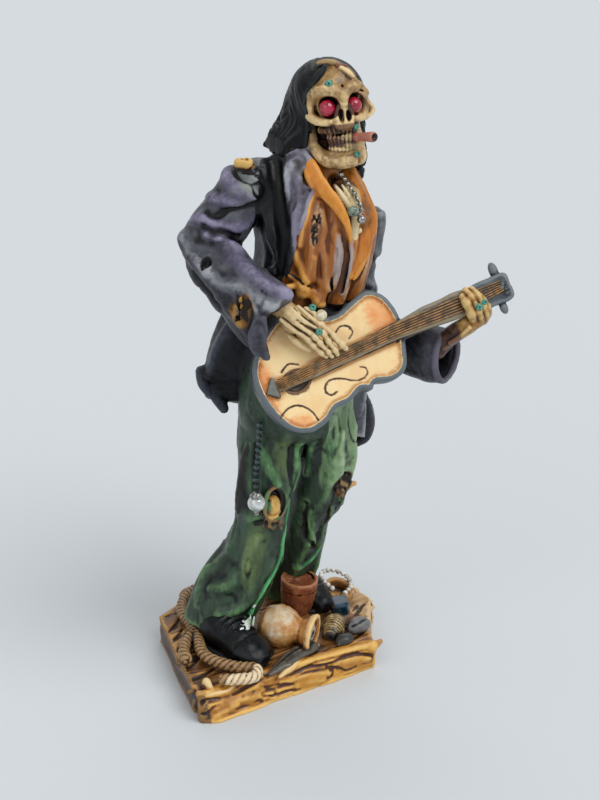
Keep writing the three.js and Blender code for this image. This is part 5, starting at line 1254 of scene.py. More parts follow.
def makeBase():
    clay = Clay((-65, -49, -3), (62, 52, 22), 0.67, 4)
    x, y, z = clay.places()
    flow = gridNoise(clay.shape, [34, 16, 9], 81)
    grain = gridNoise(clay.shape, [44, 6, 40], 82) + 0.5 * gridNoise(clay.shape, [30, 3, 40], 83)
    layers = gridNoise(clay.shape, [34, 30, 5], 84) + 0.4 * gridNoise(clay.shape, [22, 22, 2.4], 85)
    front = frontEdge(x, np.clip(z / 14, 0, 1))
    back = np.interp(x, *zip(*plankBack))
    side = np.maximum(front - y, y - back) - 0.95 * layers + 0.6 * np.exp(-((layers / 0.05) ** 2))
    tips = np.maximum(-61 - x, x - 57.5) - 1.4 * np.sin(0.5 * y + 1.2 * flow) - 1.2 * flow
    top = z - 14 - 0.85 * grain - 0.5 * flow + 0.7 * np.exp(-((grain / 0.06) ** 2))
    body = np.maximum(np.maximum(side, tips), top).astype(np.float32)
    clay.field = np.clip(body, -4, 4).astype(np.float32)
    for lines, ends, rise, blend, carve in ((frontRidges, (0.5, 0.6), 0.3, 2.2, False),
            (frontGrooves, (0.6, 0.5), 0.65, 0.6, True)):
        for points, radius in lines:
            line = [(px, frontEdge(px, pz / 14), pz) for px, pz in points]
            radii = [ends[0] * radius] + [radius] * (len(points) - 2) + [ends[1] * radius]
            clay.fold(line, radii, rise, blend, carve=carve)
    for points in topGrooves:
        clay.crack([(*p, 14) for p in points], [0.5, 1.1, 0.6], 0.5, 0.9)
    clay.stroke([(-19.4, -39, 12), (-14, -38, 13.6), (-7, -35.4, 14.6), (0, -32.6, 15), (9, -29.4, 14.6)],
        [0.9, 1.6, 1.8, 1.7, 1.2], 1.4, smooth=20, mask="pale", spread=1)
    clay.stroke([(-60, -31, 13), (-56, -32.6, 12.6), (-51, -33.8, 12), (-46, -34.4, 11.6),
        (-41.4, -33, 13.4)], [1.5, 1.4, 1.1, 1, 1.4], 1.8, smooth=20, mask="cream", spread=0.5)
    clay.stroke([(-53.4, -26.4, 13), (-54, -28.6, 16.6), (-53.6, -31, 13.6)], [1.8, 1.9, 1.6], 1.2, smooth=8,
        mask="cream", spread=1.2)
    clay.stroke([(33, -43, 12), (38.4, -42.4, 13)], [2.4, 1.2], 1.6)
    for spot, size in (((52, -4, 13), (6, 5, 3)), ((54, 8, 12), (4, 5, 3.4)), ((47, 14, 14), (7, 5, 2.6)),
            ((40, -22, 13), (5, 4, 2.6))):
        clay.lump(spot, size, 2.6)
    swirl = array((-53, -2, 12))
    for ring in range(3):
        loop = [swirl + (-1.4 * math.sin(a), (2 + 2.2 * ring) * math.cos(a),
            (1.4 + 1.3 * ring) * math.sin(a)) for a in np.linspace(0, 2 * math.pi, 13)]
        clay.fold(loop, 0.6, 0.5, 0.6, carve=ring != 1)
    for start, end, size in (((52, -14, 12), (58.4, -10.4, 10), 1.8), ((52, -4, 9), (59, -1, 6), 1.8),
            ((53, 6, 12), (59, 9, 11), 2), ((-58, -26, 12), (-61.6, -24, 11), 2)):
        clay.stroke([start, end], [size, 0.8], 1.4)
    clay.trim(-z)
    near = np.clip((front + 5.5 - y) / 2.5, 0, 1) * ramp(x, -59, -56) * ramp(x, 36, 33)
    clay.zone("front", near)
    clay.zone("tan", ramp(x, 40, 45))
    end = np.maximum(np.clip((y - back + 4) / 3, 0, 1),
        ramp(x, -57, -59)) * ramp(x, -36, -40) * ramp(z, 15, 12)
    clay.zone("end", np.maximum(end, 0.7 * ramp(x, -49, -54) * ramp(y, -26, -20)))
    wood = paintedResin("driftwood painted resin", paints("56361C 84592C BC8C4C 2C180C", tint="5E3A20",
        edge=0.6, crest=0.5, hollow=1.0, pocket=0.6, mottle=12, grain=3, stretch=(0.2, 1, 1), rough=0.42),
        {"end": paints("2C1C16 4A3020 8A6434 140C0C"), "tan": paints("8A6840 B08A5C D4B284 3A2416"),
        "front": paints("A0661E C68A30 E8B862 4A2816", tint="9A5E24", edge=0.5, crest=0.4, hollow=0.7,
        pocket=0.4), "pale": paints("B88444 D8A860 EECB90 6A4020"),
        "cream": paints("B88444 D2A562 EED09A 8A5A2C")})
    clay.skin("base", wood, fine=1.1, wide=3, thin=0.02)


# Rope laid on the base: three strands twisted round one another
ropeRoute = [(-13, 47, 18), (-24, 40, 18), (-31, 31, 18), (-34, 18, 18), (-37, 7, 18.4), (-43, -6, 18.8),
    (-44, -14, 18.8), (-41, -22, 18.4), (-36, -29, 18.2), (-30, -34.5, 18), (-34, -38.5, 17),
    (-41, -36.5, 17.4), (-49, -32, 17.6)]
ropeStub = [(-37, 10, 18), (-44, 5, 18), (-50, -2, 17.5), (-52, -9, 17)]


def makeRope():
    hemp = paintedResin("twisted rope resin", paints(
        "52361F 785634 AC8A5E 20120A", hollow=1.2, edge=0.5, crest=0.3, rough=0.45, mottle=9,
    ), {
        "lit": paints("9A7046 C09668 EBD8B4 5A3A1E", edge=0.7),
    })
    clay = Clay((-60, -46, 11), (-5, 53, 25), 0.42, 2.4)
    for route in (ropeRoute, ropeStub):
        t = np.linspace(0, 1, 1500)
        path = splineAt(route, t)
        length = np.concatenate([[0], np.cumsum(np.linalg.norm(np.diff(path, axis=0), axis=1))])
        steps = np.arange(0, length[-1], 0.55)
        path = np.stack([np.interp(steps, length, path[:, a]) for a in range(3)], -1)
        along = unit(np.gradient(path, axis=0))
        side = unit(np.cross(along, (0, 0, 1)))
        rise = np.cross(side, along)
        for strand in range(3):
            turn = steps * 2 * math.pi / 8.4 + strand * 2 * math.pi / 3
            line = path + 1.35 * (side * np.cos(turn)[:, None] + rise * np.sin(turn)[:, None])
            ends = np.clip(np.minimum(steps, steps[-1] - steps) / 3, 0, 1) ** 0.5
            clay.stroke(line, 0.5 + 1.0 * ends, 0.12, smooth=0)
    clay.roughen(1.2, 0.12, 91)
    x, y, z = clay.places()
    lit = ramp(y, -34, -36) * ramp(x, -50, -46)
    clay.zone("lit", lit)
    clay.skin("rope", hemp, fine=0.8, wide=2, thin=0.0)


# Flat shapes of the guitar: an outline smoothed and set between two heights
def smoothLoop(points, count):
    points = array(points)
    last = len(points)
    t = np.linspace(0, last, count, endpoint=False)
    i = t.astype(int)
    return between(*(points[(i + k) % last] for k in (-1, 0, 1, 2)), (t - i)[:, None])


def outlineGap(clay, outline):
    x, y, z = clay.places()
    x, y = np.broadcast_arrays(x[:, :, 0], y[:, :, 0])
    gap = np.full(x.shape, 1e9)
    inside = np.zeros(x.shape, bool)
    for (ax, ay), (bx, by) in zip(outline, np.roll(outline, -1, 0)):
        dx, dy = bx - ax, by - ay
        t = np.clip(((x - ax) * dx + (y - ay) * dy) / max(dx * dx + dy * dy, 1e-9), 0, 1)
        gap = np.minimum(gap, (x - ax - t * dx) ** 2 + (y - ay - t * dy) ** 2)
        crosses = (ay > y) != (by > y)
        inside ^= crosses & (x < ax + (y - ay) * dx / (dy if abs(dy) > 1e-9 else 1e-9))
    return np.where(inside, -np.sqrt(gap), np.sqrt(gap)).astype(np.float32)[:, :, None]


# An outline between two heights, its edges rounded; the top may be a height for each place
def slab(clay, gap, low, high, blend=0.0, carve=False, mask=None, rounded=0.8, spread=0.5):
    z = clay.places()[2]
    level = np.broadcast_to(np.maximum(low - z, z - high), clay.shape)
    near = -softMin(-np.broadcast_to(gap, clay.shape), -level, rounded)
    clay.blend(..., np.clip(near, -clay.reach, clay.reach).astype(np.float32), blend, carve, mask, spread)


guitarOutline = [
    (-32.6, 2), (-31, -10), (-26, -20.5), (-18, -25), (-9, -23.5), (-3, -19.8), (4, -19.4), (10.5, -16.6),
    (15, -18.6), (18, -16.4), (26, -18.4), (33, -16), (37, -8), (39.6, 2), (40, 10), (37, 19),
    (30.5, 23.4), (22, 21.4), (14, 19), (7, 20.5), (-1, 26.5), (-10, 28), (-21, 22), (-30, 12),
]
fingerboard = [(-23, -3.4), (-8, -3.6), (10, -3), (37, -2.6), (50, -3.8), (66, -5), (77, -5.4), (77, 5.4),
    (69, 7), (52, 6.6), (40, 5.2), (20, 3.7), (0, 2.8), (-22, 2)]
headstock = [(74, -5), (84, -6.2), (92, -5.8), (93, 1), (92.5, 6.2), (85, 6.8), (74, 5.6)]
tailpiece = [(-29.6, -1.8), (-24.4, 4.6), (-23.2, -0.4), (-24.6, -5.8)]
guitarScrolls = [
    [(10.1, 11.1), (13.4, 13), (17, 11.6), (17.6, 8.4), (14.8, 6.5)],
    [(14.2, -7), (16.6, -8.6), (15.6, -11.6), (10.4, -12), (3.3, -8), (-1.9, -7.4), (-4.5, -10.4),
    (-3, -13.5), (0.2, -13)], [(-28, -13.6), (-22.9, -11.3), (-17.7, -12.2), (-13.9, -16.6),
    (-12.7, -21.6)], [(-19.4, 4.6), (-15, 6.6), (-10.9, 4.8)],
]
# Warmer patches of the board: centre, half sizes and strength
guitarGlow = [(-29, 4, 6, 16, 1), (33, 8, 9, 16, 0.9), (-20, -20, 8, 5, 0.8), (4, 18, 9, 5, 0.7)]


def makeGuitar():
    clay = Clay((-35, -28, -13), (97, 32, 8), 0.54, 3)
    x, y, z = clay.places()
    body = outlineGap(clay, smoothLoop(guitarOutline, 144))
    slab(clay, body, -11, 0.6, rounded=1.8)
    slab(clay, body + 2.5, -0.35, 4, 0.3, carve=True, rounded=0.4)
    clay.zone("board", np.clip(0.5 - (body + 2.2) / 0.6, 0, 1) * ramp(z, -1.6, -1.1))
    glow = 0
    for cx, cy, wide, high, strength in guitarGlow:
        glow = glow + np.exp(-(((x - cx) / wide) ** 2 + ((y - cy) / high) ** 2)) * strength
    clay.zone("peach", clay.masks["board"] * np.clip(glow, 0, 1))
    for line in guitarScrolls:
        clay.groove([(px, py, -0.2) for px, py in line], 0.4, 0.2, mask="ink", smooth=30, spread=0.5)
    clay.scoop((-14.8, -1.8, 0), (6, 4.9, 1), 0.3, mask="dark", spread=0.8)
    hole = [(-14.8 + 6.2 * math.cos(a), -1.8 + 5 * math.sin(a),
        -0.2) for a in np.linspace(0, 2 * math.pi, 40)]
    clay.stroke(hole, 0.55, 0.2, mask="ink", spread=0.7)
    neck = outlineGap(clay, array([(34, -3.6), (80, -4.4), (80, 5), (34, 5)]))
    slab(clay, neck, -4.4, 1, 1.2, rounded=2.4, mask="neck", spread=1)
    fretted = outlineGap(clay, array(fingerboard))
    top = 3.1 - 1.5 * ramp(x, -7, -11)
    lined = 0.16 * np.abs(np.sin(2.9 * (y - 0.045 * x))) + 0.14 * gridNoise(clay.shape, [22, 3, 4], 103)
    slab(clay, fretted, -1.2, top - lined, 0.4, mask="fingerboard", rounded=0.7, spread=0.8)
    head = outlineGap(clay, smoothLoop(headstock, 40))
    slab(clay, head, -2.4, 3.4, 0.6, rounded=1.1, mask="head", spread=0.8)
    tail = outlineGap(clay, array(tailpiece))
    slab(clay, tail, -0.5, 1.9, 0.3, mask="metal", rounded=0.7, spread=0.7)
    for centre, radii in (((88.6, 8.8, 0.8), (2.2, 4.2, 2.1)), ((86, -8.2, 0.8), (2, 3.2, 1.9))):
        clay.lump(centre, radii, 0.8, mask="head", spread=0.8)
    rng = np.random.default_rng(14)
    for post in range(9):
        spot = (86.4 + 4 * rng.random(), -3.4 + 6.4 * rng.random(), 3.6)
        clay.lump(spot, (0.75, 0.6, 0.9), 0.3, mask="peg", spread=0.6)
    clay.roughen(5, 0.16, 101)
    clay.roughen(1.5, 0.06, 102)
    wood = paintedResin("painted guitar resin", paints(
        "23282C 343B40 646D72 14171A", tint="454D53", edge=0.5, rough=0.4, mottle=12, bump=0.12,
    ), {
        "board": paints("F4CE94 FADEA6 FFF0CC C8945A", crest=0.1, edge=0.4, pocket=0.2),
        "peach": paints("EC9C58 F6B87C FCD6A8 C07838", pocket=0.2),
        "neck": paints("33302E 4A4440 7A7068 16120E"),
        "fingerboard": paints("3A3836 524D46 8A7E68 14110E", tint="5C4A38", edge=0.8),
        "head": paints("252B30 3A4248 6C757B 121417"),
        "metal": paints("2E3230 454A48 74766E 1A1612"),
        "dark": paints("5E4A34 867050 A89474 2A1E14"),
        "ink": paints("4A3020 5C3E2A 7A5A40 302014"),
        "peg": paints("141618 24282C 5E686C 0A0B0C"),
    })
    clay.skin("guitar_body", wood, guitarPlace, fine=0.9, wide=2.6, node="guitar", thin=0.01)


# Bony hands: long finger bones and tendons, worked on the guitar's own frame
rightFingers = [
    ([(0.4, 25, 8.6), (2.4, 22.4, 8.8), (3.6, 16.4, 9.2), (6.8, 9.9, 7.8), (9.4, 5, 6), (10.8, 2.6, 4.2)],
    1.65), ([(-1.6, 22, 8.4), (1.4, 16.6, 9.2), (3.2, 12.6, 9.2), (4, 8.7, 8), (5.6, 4, 5.6),
    (6.2, 1.8, 4.2)], 1.45), ([(-4.4, 20, 8), (-2, 14.6, 9), (-0.9, 12.4, 9), (0.3, 9.4, 8),
    (2.6, 4.4, 5.5), (3.6, 2, 4.2)], 1.4), ([(-7.4, 19.6, 7), (-4.6, 14.4, 8), (-3.8, 12.6, 8),
    (-2.6, 9.5, 7.2), (-0.4, 5.2, 5.4), (1.2, 2.8, 4)], 1.35),
]
leftFingers = [
    ([(69, -10, -5), (70, -9, 0), (69.8, -5.1, 5), (69.4, -0.2, 6.2), (69.4, 3.2, 4.9)], 2.2),
    ([(73, -10, -4), (73.6, -9, 1), (73, -5, 5.2), (72.4, 1.4, 6.2), (71.6, 5.4, 4.9)], 2.0),
    ([(76, -10, -3), (76.6, -8.4, 1.6), (76, -4, 5.2), (75.2, 1.2, 6), (74.4, 4.8, 4.8)], 1.95),
    ([(78, -9, -3), (78.6, -7.4, 1), (78, -5, 4), (77.2, -2, 4.8), (77, 0.4, 4.6)], 1.7),
    ([(72, -9, -7), (77.4, -7, -3), (80, -4.6, 0.8), (83.4, -4, 1.6)], 1.6),
]


def finger(clay, joints, size):
    points = array(joints)
    clay.stroke(points, [size * k for k in (1.0, 1.0, 0.96, 0.9, 0.82, 0.7)[: len(points)]], 0.6, smooth=24)
    for joint in points[2:-1]:
        clay.lump(joint, (size * 1.04,) * 3, 1)


def makeHands():
    right = Clay((-26, -3, -2), (16, 46, 16), 0.39, 2.5)
    right.stroke([(-17, 42, 8), (-12, 34, 8.6), (-7, 27, 8), (-3, 21, 7.4)], [4.6, 4.4, 4.6, 4], 1, smooth=12)
    right.lump((-6.4, 22.6, 7.2), (5.4, 6.4, 3.4), 1.4, axes=turned("Z", 35).T)
    right.lump((-2.4, 18.4, 7.4), (4.6, 5.4, 2.8), 1.4, axes=turned("Z", 20).T)
    for joints, size in rightFingers:
        finger(right, joints, size)
    right.stroke([(-9, 24, 5), (-9.6, 18, 4.6), (-7.4, 12.6, 4), (-4.4, 8.6, 3)], [2, 1.9, 1.7, 1.3], 0.8,
        smooth=12)
    for line in ([(-6.4, 28, 11.2), (-3.4, 21.6, 10.8), (0.6, 16.6, 10.2)],
            [(-2.6, 27.6, 11), (0.6, 21, 10.4), (2.8, 17, 10.2)], [(-9.6, 27, 10.6), (-6.4, 21, 10.4),
            (-2.4, 15, 9.8)], [(-12, 25.4, 9.6), (-9, 20, 9), (-5, 14.6, 8.6)]):
        right.stroke(line, [0.8, 0.9, 0.8], 0.8, smooth=12)
    for line in ([(-5, 27.6, 11.6), (-1.6, 21, 11), (1.6, 16, 10.6)], [(-8, 27.6, 11.2), (-4.8, 21, 10.8),
            (-1, 15.6, 10.2)], [(-10.8, 26.2, 10.4), (-7.6, 20.4, 9.8), (-3.8, 14.6, 9.4)]):
        right.groove(line, [0.25, 0.4, 0.25], 0.3, smooth=12)
    right.roughen(1.6, 0.08, 111)
    left = Clay((48, -24, -20), (92, 12, 12), 0.39, 2.5)
    left.stroke([(54, -13, -16), (59, -10.6, -11), (64, -9.4, -6), (68, -9, -2)], [4.6, 4.4, 4.4, 4.2], 1,
        smooth=14)
    left.lump((71.6, -8.6, -1.6), (6.4, 3.6, 4.6), 1.4)
    for joints, size in leftFingers:
        finger(left, joints, size)
    for line in ([(58, -13, -6), (63, -12, -2), (67, -10.6, 2)], [(56, -14, -10), (61, -13, -5),
            (66, -12, -1)]):
        left.stroke(line, [0.9, 1, 0.8], 0.9, smooth=12)
    left.roughen(1.6, 0.08, 112)
    x = left.places()[0]
    left.zone("brown", ramp(x, 66, 61))
    pale = paints("9C7A44 BC9A64 E4CC9C 3E2812", edge=0.6, crest=0.5, hollow=1.1, pocket=0.5, rough=0.38,
        mottle=6, bump=0.1)
    ochre = dict(pale, shade="94682C", base="B48844", light="D8B87C", wash="4A2A10")
    brown = {"brown": paints("2E1A14 4A2C20 7A563E 160C08")}
    right.skin("right_hand", paintedResin("bony right hand resin", pale, {}), guitarPlace, fine=0.8, wide=2)
    left.skin("left_hand", paintedResin("bony left hand resin", ochre, brown), guitarPlace, fine=0.8, wide=2)


# Turned shapes: a profile of radius and height along an axis, its first ring beside the given direction
def latheRings(centre, axis, profile, sides, aside):
    along = unit(array(axis))
    side = unit(np.cross(along, aside))
    front = np.cross(along, side)
    angle = np.linspace(0, 2 * math.pi, sides, endpoint=False)[:, None]
    return [array(centre) + along * h + r * (np.cos(angle) * side + np.sin(angle) * front) for r,
        h in profile]


# A closed turned shape, whose profile starts and ends on the axis
def spun(centre, axis, profile, sides=64):
    rings = latheRings(centre, axis, profile[1:-1], sides, (0.3, 0.9, 0.1))
    ends = [array(centre) + unit(array(axis)) * profile[end][1] for end in (0, -1)]
    return np.vstack(rings + ends), *cappedFaces(len(rings), sides)


# Small things lying on the base: jug, barrel, hollow stump, shell, leaf-like lump and loose wood
def makeProps():
    clay = Clay((-28, -42, 8), (62, 54, 36), 0.54, 3)
    barrel = [(0, -2), (7.6, -2), (8.6, 7), (9.2, 13), (8.9, 13.6), (9.35, 14.4), (9.3, 19), (8.2, 19),
        (8, 18.6), (0, 18.6)]
    clay.mesh(spun((20.6, 4.6, 14), (0.06, -0.06, 1), barrel), mask="barrel", spread=1)
    clay.groove([(28, 8, 32), (29, 3.6, 32), (27.6, -0.4, 32)], 0.5, 0.4, mask="barrelDark", smooth=14,
        spread=0.6)
    for board in range(6):
        clay.groove([(14.6, 0.4 + 2 * board, 32.3), (21, 0.8 + 1.7 * board, 32.1),
            (27.6, -0.6 + 2 * board, 32.2)], 0.22, 0.2)
    stump = [(0, -6), (8.4, -6), (7.8, -1), (8.4, 2.4), (7.6, 7), (5.8, 6.8), (4.6, 1.4), (0, 0.8)]
    clay.mesh(spun((45.5, 5, 13), (0.05, -0.3, 1), stump), 0.8, mask="stump", spread=1)
    for ridge in range(13):
        a = 2 * math.pi * ridge / 13
        clay.stroke([(45.5 + 9 * math.cos(a), 6 + 9 * math.sin(a), 11), (45.8 + 7.4 * math.cos(a + 0.2), 3.4
            + 7.4 * math.sin(a + 0.2), 19.6)], [1.3, 0.7], 0.9, mask="stump", spread=0.8)
    # Painted shade in the stump's hollow top
    clay.scoop((45.9, 3.3, 20.4), (4.6, 4.2, 4), 0.4, mask="stumpDark", spread=1.4)
    jug = [(0, -10.5), (5, -9.6), (9, -6.4), (10.9, -1), (10.4, 3), (9, 6.4), (6.4, 9.4), (5.8, 11.4),
        (7.6, 14), (9.4, 15.6), (9.6, 17.4), (8.2, 18.2), (6.4, 17), (4.4, 14), (3.4, 11), (0, 10.6)]
    clay.mesh(spun((-3, -14.5, 22.2), (0.6, -0.78, -0.08), jug), 0.4, mask="jug", spread=0.8)
    # Painted highlight: pale patches on the jug's top and on its side towards the camera's left, where light
    # falls
    for spot, size in (((-6, -18, 32), (5, 5, 4)), ((-9.6, -20, 27), (2, 2, 4)), ((-2, -21, 32), (3, 3, 2))):
        clay.lump(spot, size, None, mask="worn", spread=6)
    along = unit(array((0.6, -0.78, -0.08)))
    mouth = array((-3, -14.5, 22.2)) + along * 17.2
    side = unit(np.cross(along, (0, 0, 1)))
    rise = np.cross(side, along)
    ring = [mouth + 8.9 * (side * math.cos(a) + rise * math.sin(a)) for a in np.linspace(0, 2 * math.pi, 41)]
    clay.stroke(ring, 1.1, 0.5, mask="flange", spread=0.8)
    clay.lump(mouth - along * 1.2, (6.9, 6.9, 1.5), 0.4, mask="mouth", spread=0.9,
        axes=np.stack([side, rise, along]))
    clay.scoop(mouth + along * 0.4, (2.1, 2.1, 4), 0.3, mask="dark", spread=0.8,
        axes=np.stack([side, rise, along]))
    shell = [(17, -29, 15.8, 2.4, 2.4), (20.5, -26.5, 17, 4.8, 4.6), (25, -22.5, 17.6, 5.6, 5.2),
        (29, -19, 16.8, 3.6, 3.8)]
    clay.mesh(limb(shell, 40, 30, facing=(0, 0, 1)), mask="shell", spread=0.8)
    for rib in range(11):
        t = 0.08 + 0.084 * rib
        middle, size = splineAt([s[:3] for s in shell], array([t]))[0], splineAt([s[3:] for s in shell],
            array([t]))[0]
        lean = unit(array((12, 10.5, 1)))
        across = unit(np.cross(lean, (0, 0, 1)))
        up = np.cross(across, lean)
        clay.stroke([middle + across * size[0] * math.cos(a) + up * size[1] * math.sin(a)
            for a in np.linspace(-0.3, math.pi + 0.3, 13)], 0.34, 0.2, mask="gold", spread=0.5)
    clay.lump((34.6, -29, 16.6), (7, 4.4, 4.2), 0.6, mask="leaf", spread=0.8)
    clay.crack([(29, -31, 19), (34, -31.6, 20), (40, -29, 18)], 0.6, 0.5, 0.5)
    clay.lump((22, -34.6, 15.6), (5, 3.6, 3.2), 0.6, mask="shell", spread=0.8)
    board = [(-25, -37.6, 14.2, 1.2, 0.9), (-15, -35.6, 15.8, 3.4, 1.8), (-5, -32.2, 16.2, 4.6, 2.2),
        (5, -31, 15.8, 3.6, 2.2), (8, -30.6, 15, 2, 1.6)]
    clay.mesh(limb(board, 40, 30, facing=(0, 0, 1)), 1, mask="plank", spread=0.8)
    clay.crack([(-20, -36, 17), (-10, -33, 18.4), (2, -31, 18)], 0.5, 0.6, 0.5)
    clay.lump((-17.5, 45, 15.6), (6, 5, 4.2), 0.6, mask="knob", spread=0.8)
    clay.roughen(3, 0.25, 121)
    clay.roughen(1.1, 0.1, 122)
    x, y, z = clay.places()
    clay.trim(12.6 - z)
    paint = paintedResin("painted base props resin", paints(
        "8E5A20 B87C30 E8D8B0 3A2410", edge=0.5, crest=0.3, mottle=7, rough=0.36,
    ), {
        "barrel": paints("7A4028 9C5A3A B87C56 2E140C", tint="8A4E34", edge=0.4, crest=0.3, pocket=0.15),
        "barrelDark": paints("120A08 1A100C 2E1E16 080404"),
        # painted shade in the stump's hollow
        "stump": paints("5A3A1C 86592E B88A54 24140C"),
        "stumpDark": paints("2E1C12 4A2E1C 6A4A2E 140A06"),
        "jug": paints("B4763A CC9450 E0C8A4 7A4620", edge=0.3, crest=0.2, pocket=0.4),
        # painted highlight on the jug
        "worn": paints("C29C70 D6BE9C F0E8DA A07448", edge=0.3, crest=0.2),
        "flange": paints("BC7A34 D89C50 F0C88A 7A4414", edge=0.4),
        "mouth": paints("8E968C B4B8AA DCDCD0 4A4A3C"),
        "dark": paints("2A1610 3E2218 5A3A28 0C0806"),
        "shell": paints("0E0E10 1A1A1C 3A3A3A 060606"),
        "gold": paints("5E4A26 8A703C C0A46C 2A2010"),
        "leaf": paints("2E2E30 48484A 707072 0C0C0E"),
        "plank": paints("1E1C1A 34302C 5A544C 0C0A08"),
        "knob": paints("4A3222 6E4A2C 9A7450 1E120C"),
    })
    clay.skin("base_props", paint, fine=0.9, wide=2.6)


# Finishes of the loose pieces: glass, pearl, stone and plating, each varied a little over the surface
def glossyFinish(name, base, deep, size, rough, metal=0.0, varnish=0.5, bump=0.0):
    material, tree, shader = newFinish(name)
    cloud = speckle(tree, size, 5)
    tree.links.new(layColour(tree, colour(deep), colour(base), cloud, 0.38, 0.62),
        shader.inputs["Base Color"])
    shader.inputs["Metallic"].default_value = metal
    shader.inputs["Coat Weight"].default_value = varnish
    shader.inputs["Coat Roughness"].default_value = 0.06
    roughAndRaised(tree, shader, cloud, rough, rough + 0.08, cloud, bump, 0.0005)
    return material


# A drilled bead: a round outside joined to the wall of its hole, its axis along a direction
def drilledBead(name, node, place, centre, radius, axis, material, hole=0.2, squash=1.0, sides=40):
    if place is not None:
        centre, axis = placed(centre, place), place[:3, :3] @ array(axis)
    start = math.asin(hole)
    turns = np.linspace(start, math.pi - start, 25)
    rim = radius * squash * math.cos(start)
    profile = [(radius * math.sin(a), radius * squash * math.cos(a)) for a in turns]
    profile += [(radius * hole * 0.86, rim * h) for h in (-0.93, -0.5, 0, 0.5, 0.93)]
    rings = latheRings(centre, axis, profile, sides, (0.31, 0.2, 0.93))
    here, beside, beyond, after = ringFaces(len(rings), sides, closed=True)
    quads = np.stack([here, after, beyond, beside], -1).reshape(-1, 4)
    addPiece(name, np.vstack(rings), [quads], material, node=node)


# Geometry Nodes: beads along a thread, or plain wires, from the named inputs of the tree
def threadTree(beadFinish, cordFinish):
    tree = bpy.data.node_groups.new("beads on a thread", "GeometryNodeTree")
    tree.interface.new_socket("Geometry", in_out="INPUT", socket_type="NodeSocketGeometry")
    sizes = {}
    for name, value in (("Bead radius", 0.0015), ("Bead spacing", 0.003), ("Bead length", 1.0),
            ("Cord radius", 0.0004)):
        socket = tree.interface.new_socket(name, in_out="INPUT", socket_type="NodeSocketFloat")
        socket.default_value = value
        sizes[name] = socket.identifier
    tree.interface.new_socket("Geometry", in_out="OUTPUT", socket_type="NodeSocketGeometry")
    given = addNode(tree, "NodeGroupInput", {}).node.outputs
    curve = addNode(tree, "GeometryNodeMeshToCurve", {"Mesh": given["Geometry"]})
    steps = {"Curve": curve, "Length": given["Bead spacing"]}
    spots = addNode(tree, "GeometryNodeCurveToPoints", steps, mode="LENGTH")
    bead = addNode(tree, "GeometryNodeMeshIcoSphere", {"Radius": given["Bead radius"], "Subdivisions": 3})
    wide = addNode(tree, "FunctionNodeRandomValue", {2: 0.86, 3: 1.08, "Seed": 7}, 1, data_type="FLOAT")
    scale = addNode(tree, "ShaderNodeCombineXYZ", {"X": wide, "Y": wide, "Z": given["Bead length"]})
    strung = {"Points": spots, "Instance": bead, "Rotation": spots.node.outputs["Rotation"], "Scale": scale}
    beads = addNode(tree, "GeometryNodeInstanceOnPoints", strung)
    beads = addNode(tree, "GeometryNodeRealizeInstances", {"Geometry": beads})
    beads = addNode(tree, "GeometryNodeSetMaterial", {"Geometry": beads, "Material": beadFinish})
    ring = addNode(tree, "GeometryNodeCurvePrimitiveCircle", {"Resolution": 10,
        "Radius": given["Cord radius"]})
    cord = addNode(tree, "GeometryNodeCurveToMesh",
        {"Curve": curve, "Profile Curve": ring, "Fill Caps": True})
    cord = addNode(tree, "GeometryNodeSetMaterial", {"Geometry": cord, "Material": cordFinish})
    both = addNode(tree, "GeometryNodeJoinGeometry", {0: beads})
    tree.links.new(cord, both.node.inputs[0])
    addNode(tree, "NodeGroupOutput", {0: addNode(tree, "GeometryNodeSetShadeSmooth", {"Geometry": both})})
    return tree, sizes


# Beads strung on a line, or bare wires, with each size in millimetres and the beads' length as a share
def threaded(name, node, lines, finishes, radius, spacing, cord, length=1.0):
    tree, sizes = threadTree(*finishes)
    points, edges = [], []
    for line in lines:
        path = splineAt(line, np.linspace(0, 1, 24 * len(line))) * millimetre
        edges += [(len(points) + i, len(points) + i + 1) for i in range(len(path) - 1)]
        points += [tuple(p) for p in path]
    mesh = bpy.data.meshes.new(name + " line")
    mesh.from_pydata(points, edges, [])
    draft = bpy.data.objects.new(name + " draft", mesh)
    bpy.context.scene.collection.objects.link(draft)
    modifier = draft.modifiers.new("thread", "NODES")
    modifier.node_group = tree
    for key, value in (("Bead radius", radius), ("Bead spacing", spacing), ("Cord radius", cord)):
        modifier[sizes[key]] = value * millimetre
    modifier[sizes["Bead length"]] = length
    depsgraph = bpy.context.evaluated_depsgraph_get()
    finished = bpy.data.meshes.new_from_object(draft.evaluated_get(depsgraph), depsgraph=depsgraph)
    finished.name = name
    bpy.data.objects.remove(draft)
    joinFrame(bpy.data.objects.new(name, finished), node)
    print(name, len(finished.polygons), "faces")


turquoiseBeads = [  # node, frame, centre, axis and radius
    ("brow_bead", headPlace, (-5, -16, 8.6), (-0.25, -1, 0.35), 1.9),
    ("lip_bead", headPlace, (5, -17.4, -11.2), (0.3, -1, 0.1), 1.3),
    ("chin_bead", headPlace, (4.2, -17.8, -22.9), (0.2, -1, 0.2), 1.45),
    ("right_hand_bead", guitarPlace, (3.3, 24.8, 9.6), (0.1, 0.1, 1), 1.75),
    ("right_hand_low_bead", guitarPlace, (1.4, 13.8, 10.6), (0.1, 0, 1), 1.6),
    ("left_hand_bead", guitarPlace, (73.6, -4, 7.6), (-0.1, -0.2, 1), 1.7),
    ("left_hand_side_bead", guitarPlace, (76.8, -2.8, 7), (0.3, -0.1, 1), 1.5),
]
necklaceLine = [(22.5, -27.5, 250), (24.2, -33.5, 244), (25.2, -38.4, 237.6), (23.4, -39.8, 234.6)]
pocketChainLine = [(-12.6, -13.6, 133), (-13.4, -13.4, 119), (-14, -12, 108), (-15.2, -14, 98.4)]
baseStringLine = [
    (39.5, 0, 22.4), (38.6, 6, 24), (41, 12, 24.4), (46, 14.4, 24), (51.4, 12, 23), (53.6, 5.6, 21.4),
    (51, -0.6, 19.8), (45.6, -3, 19),
]
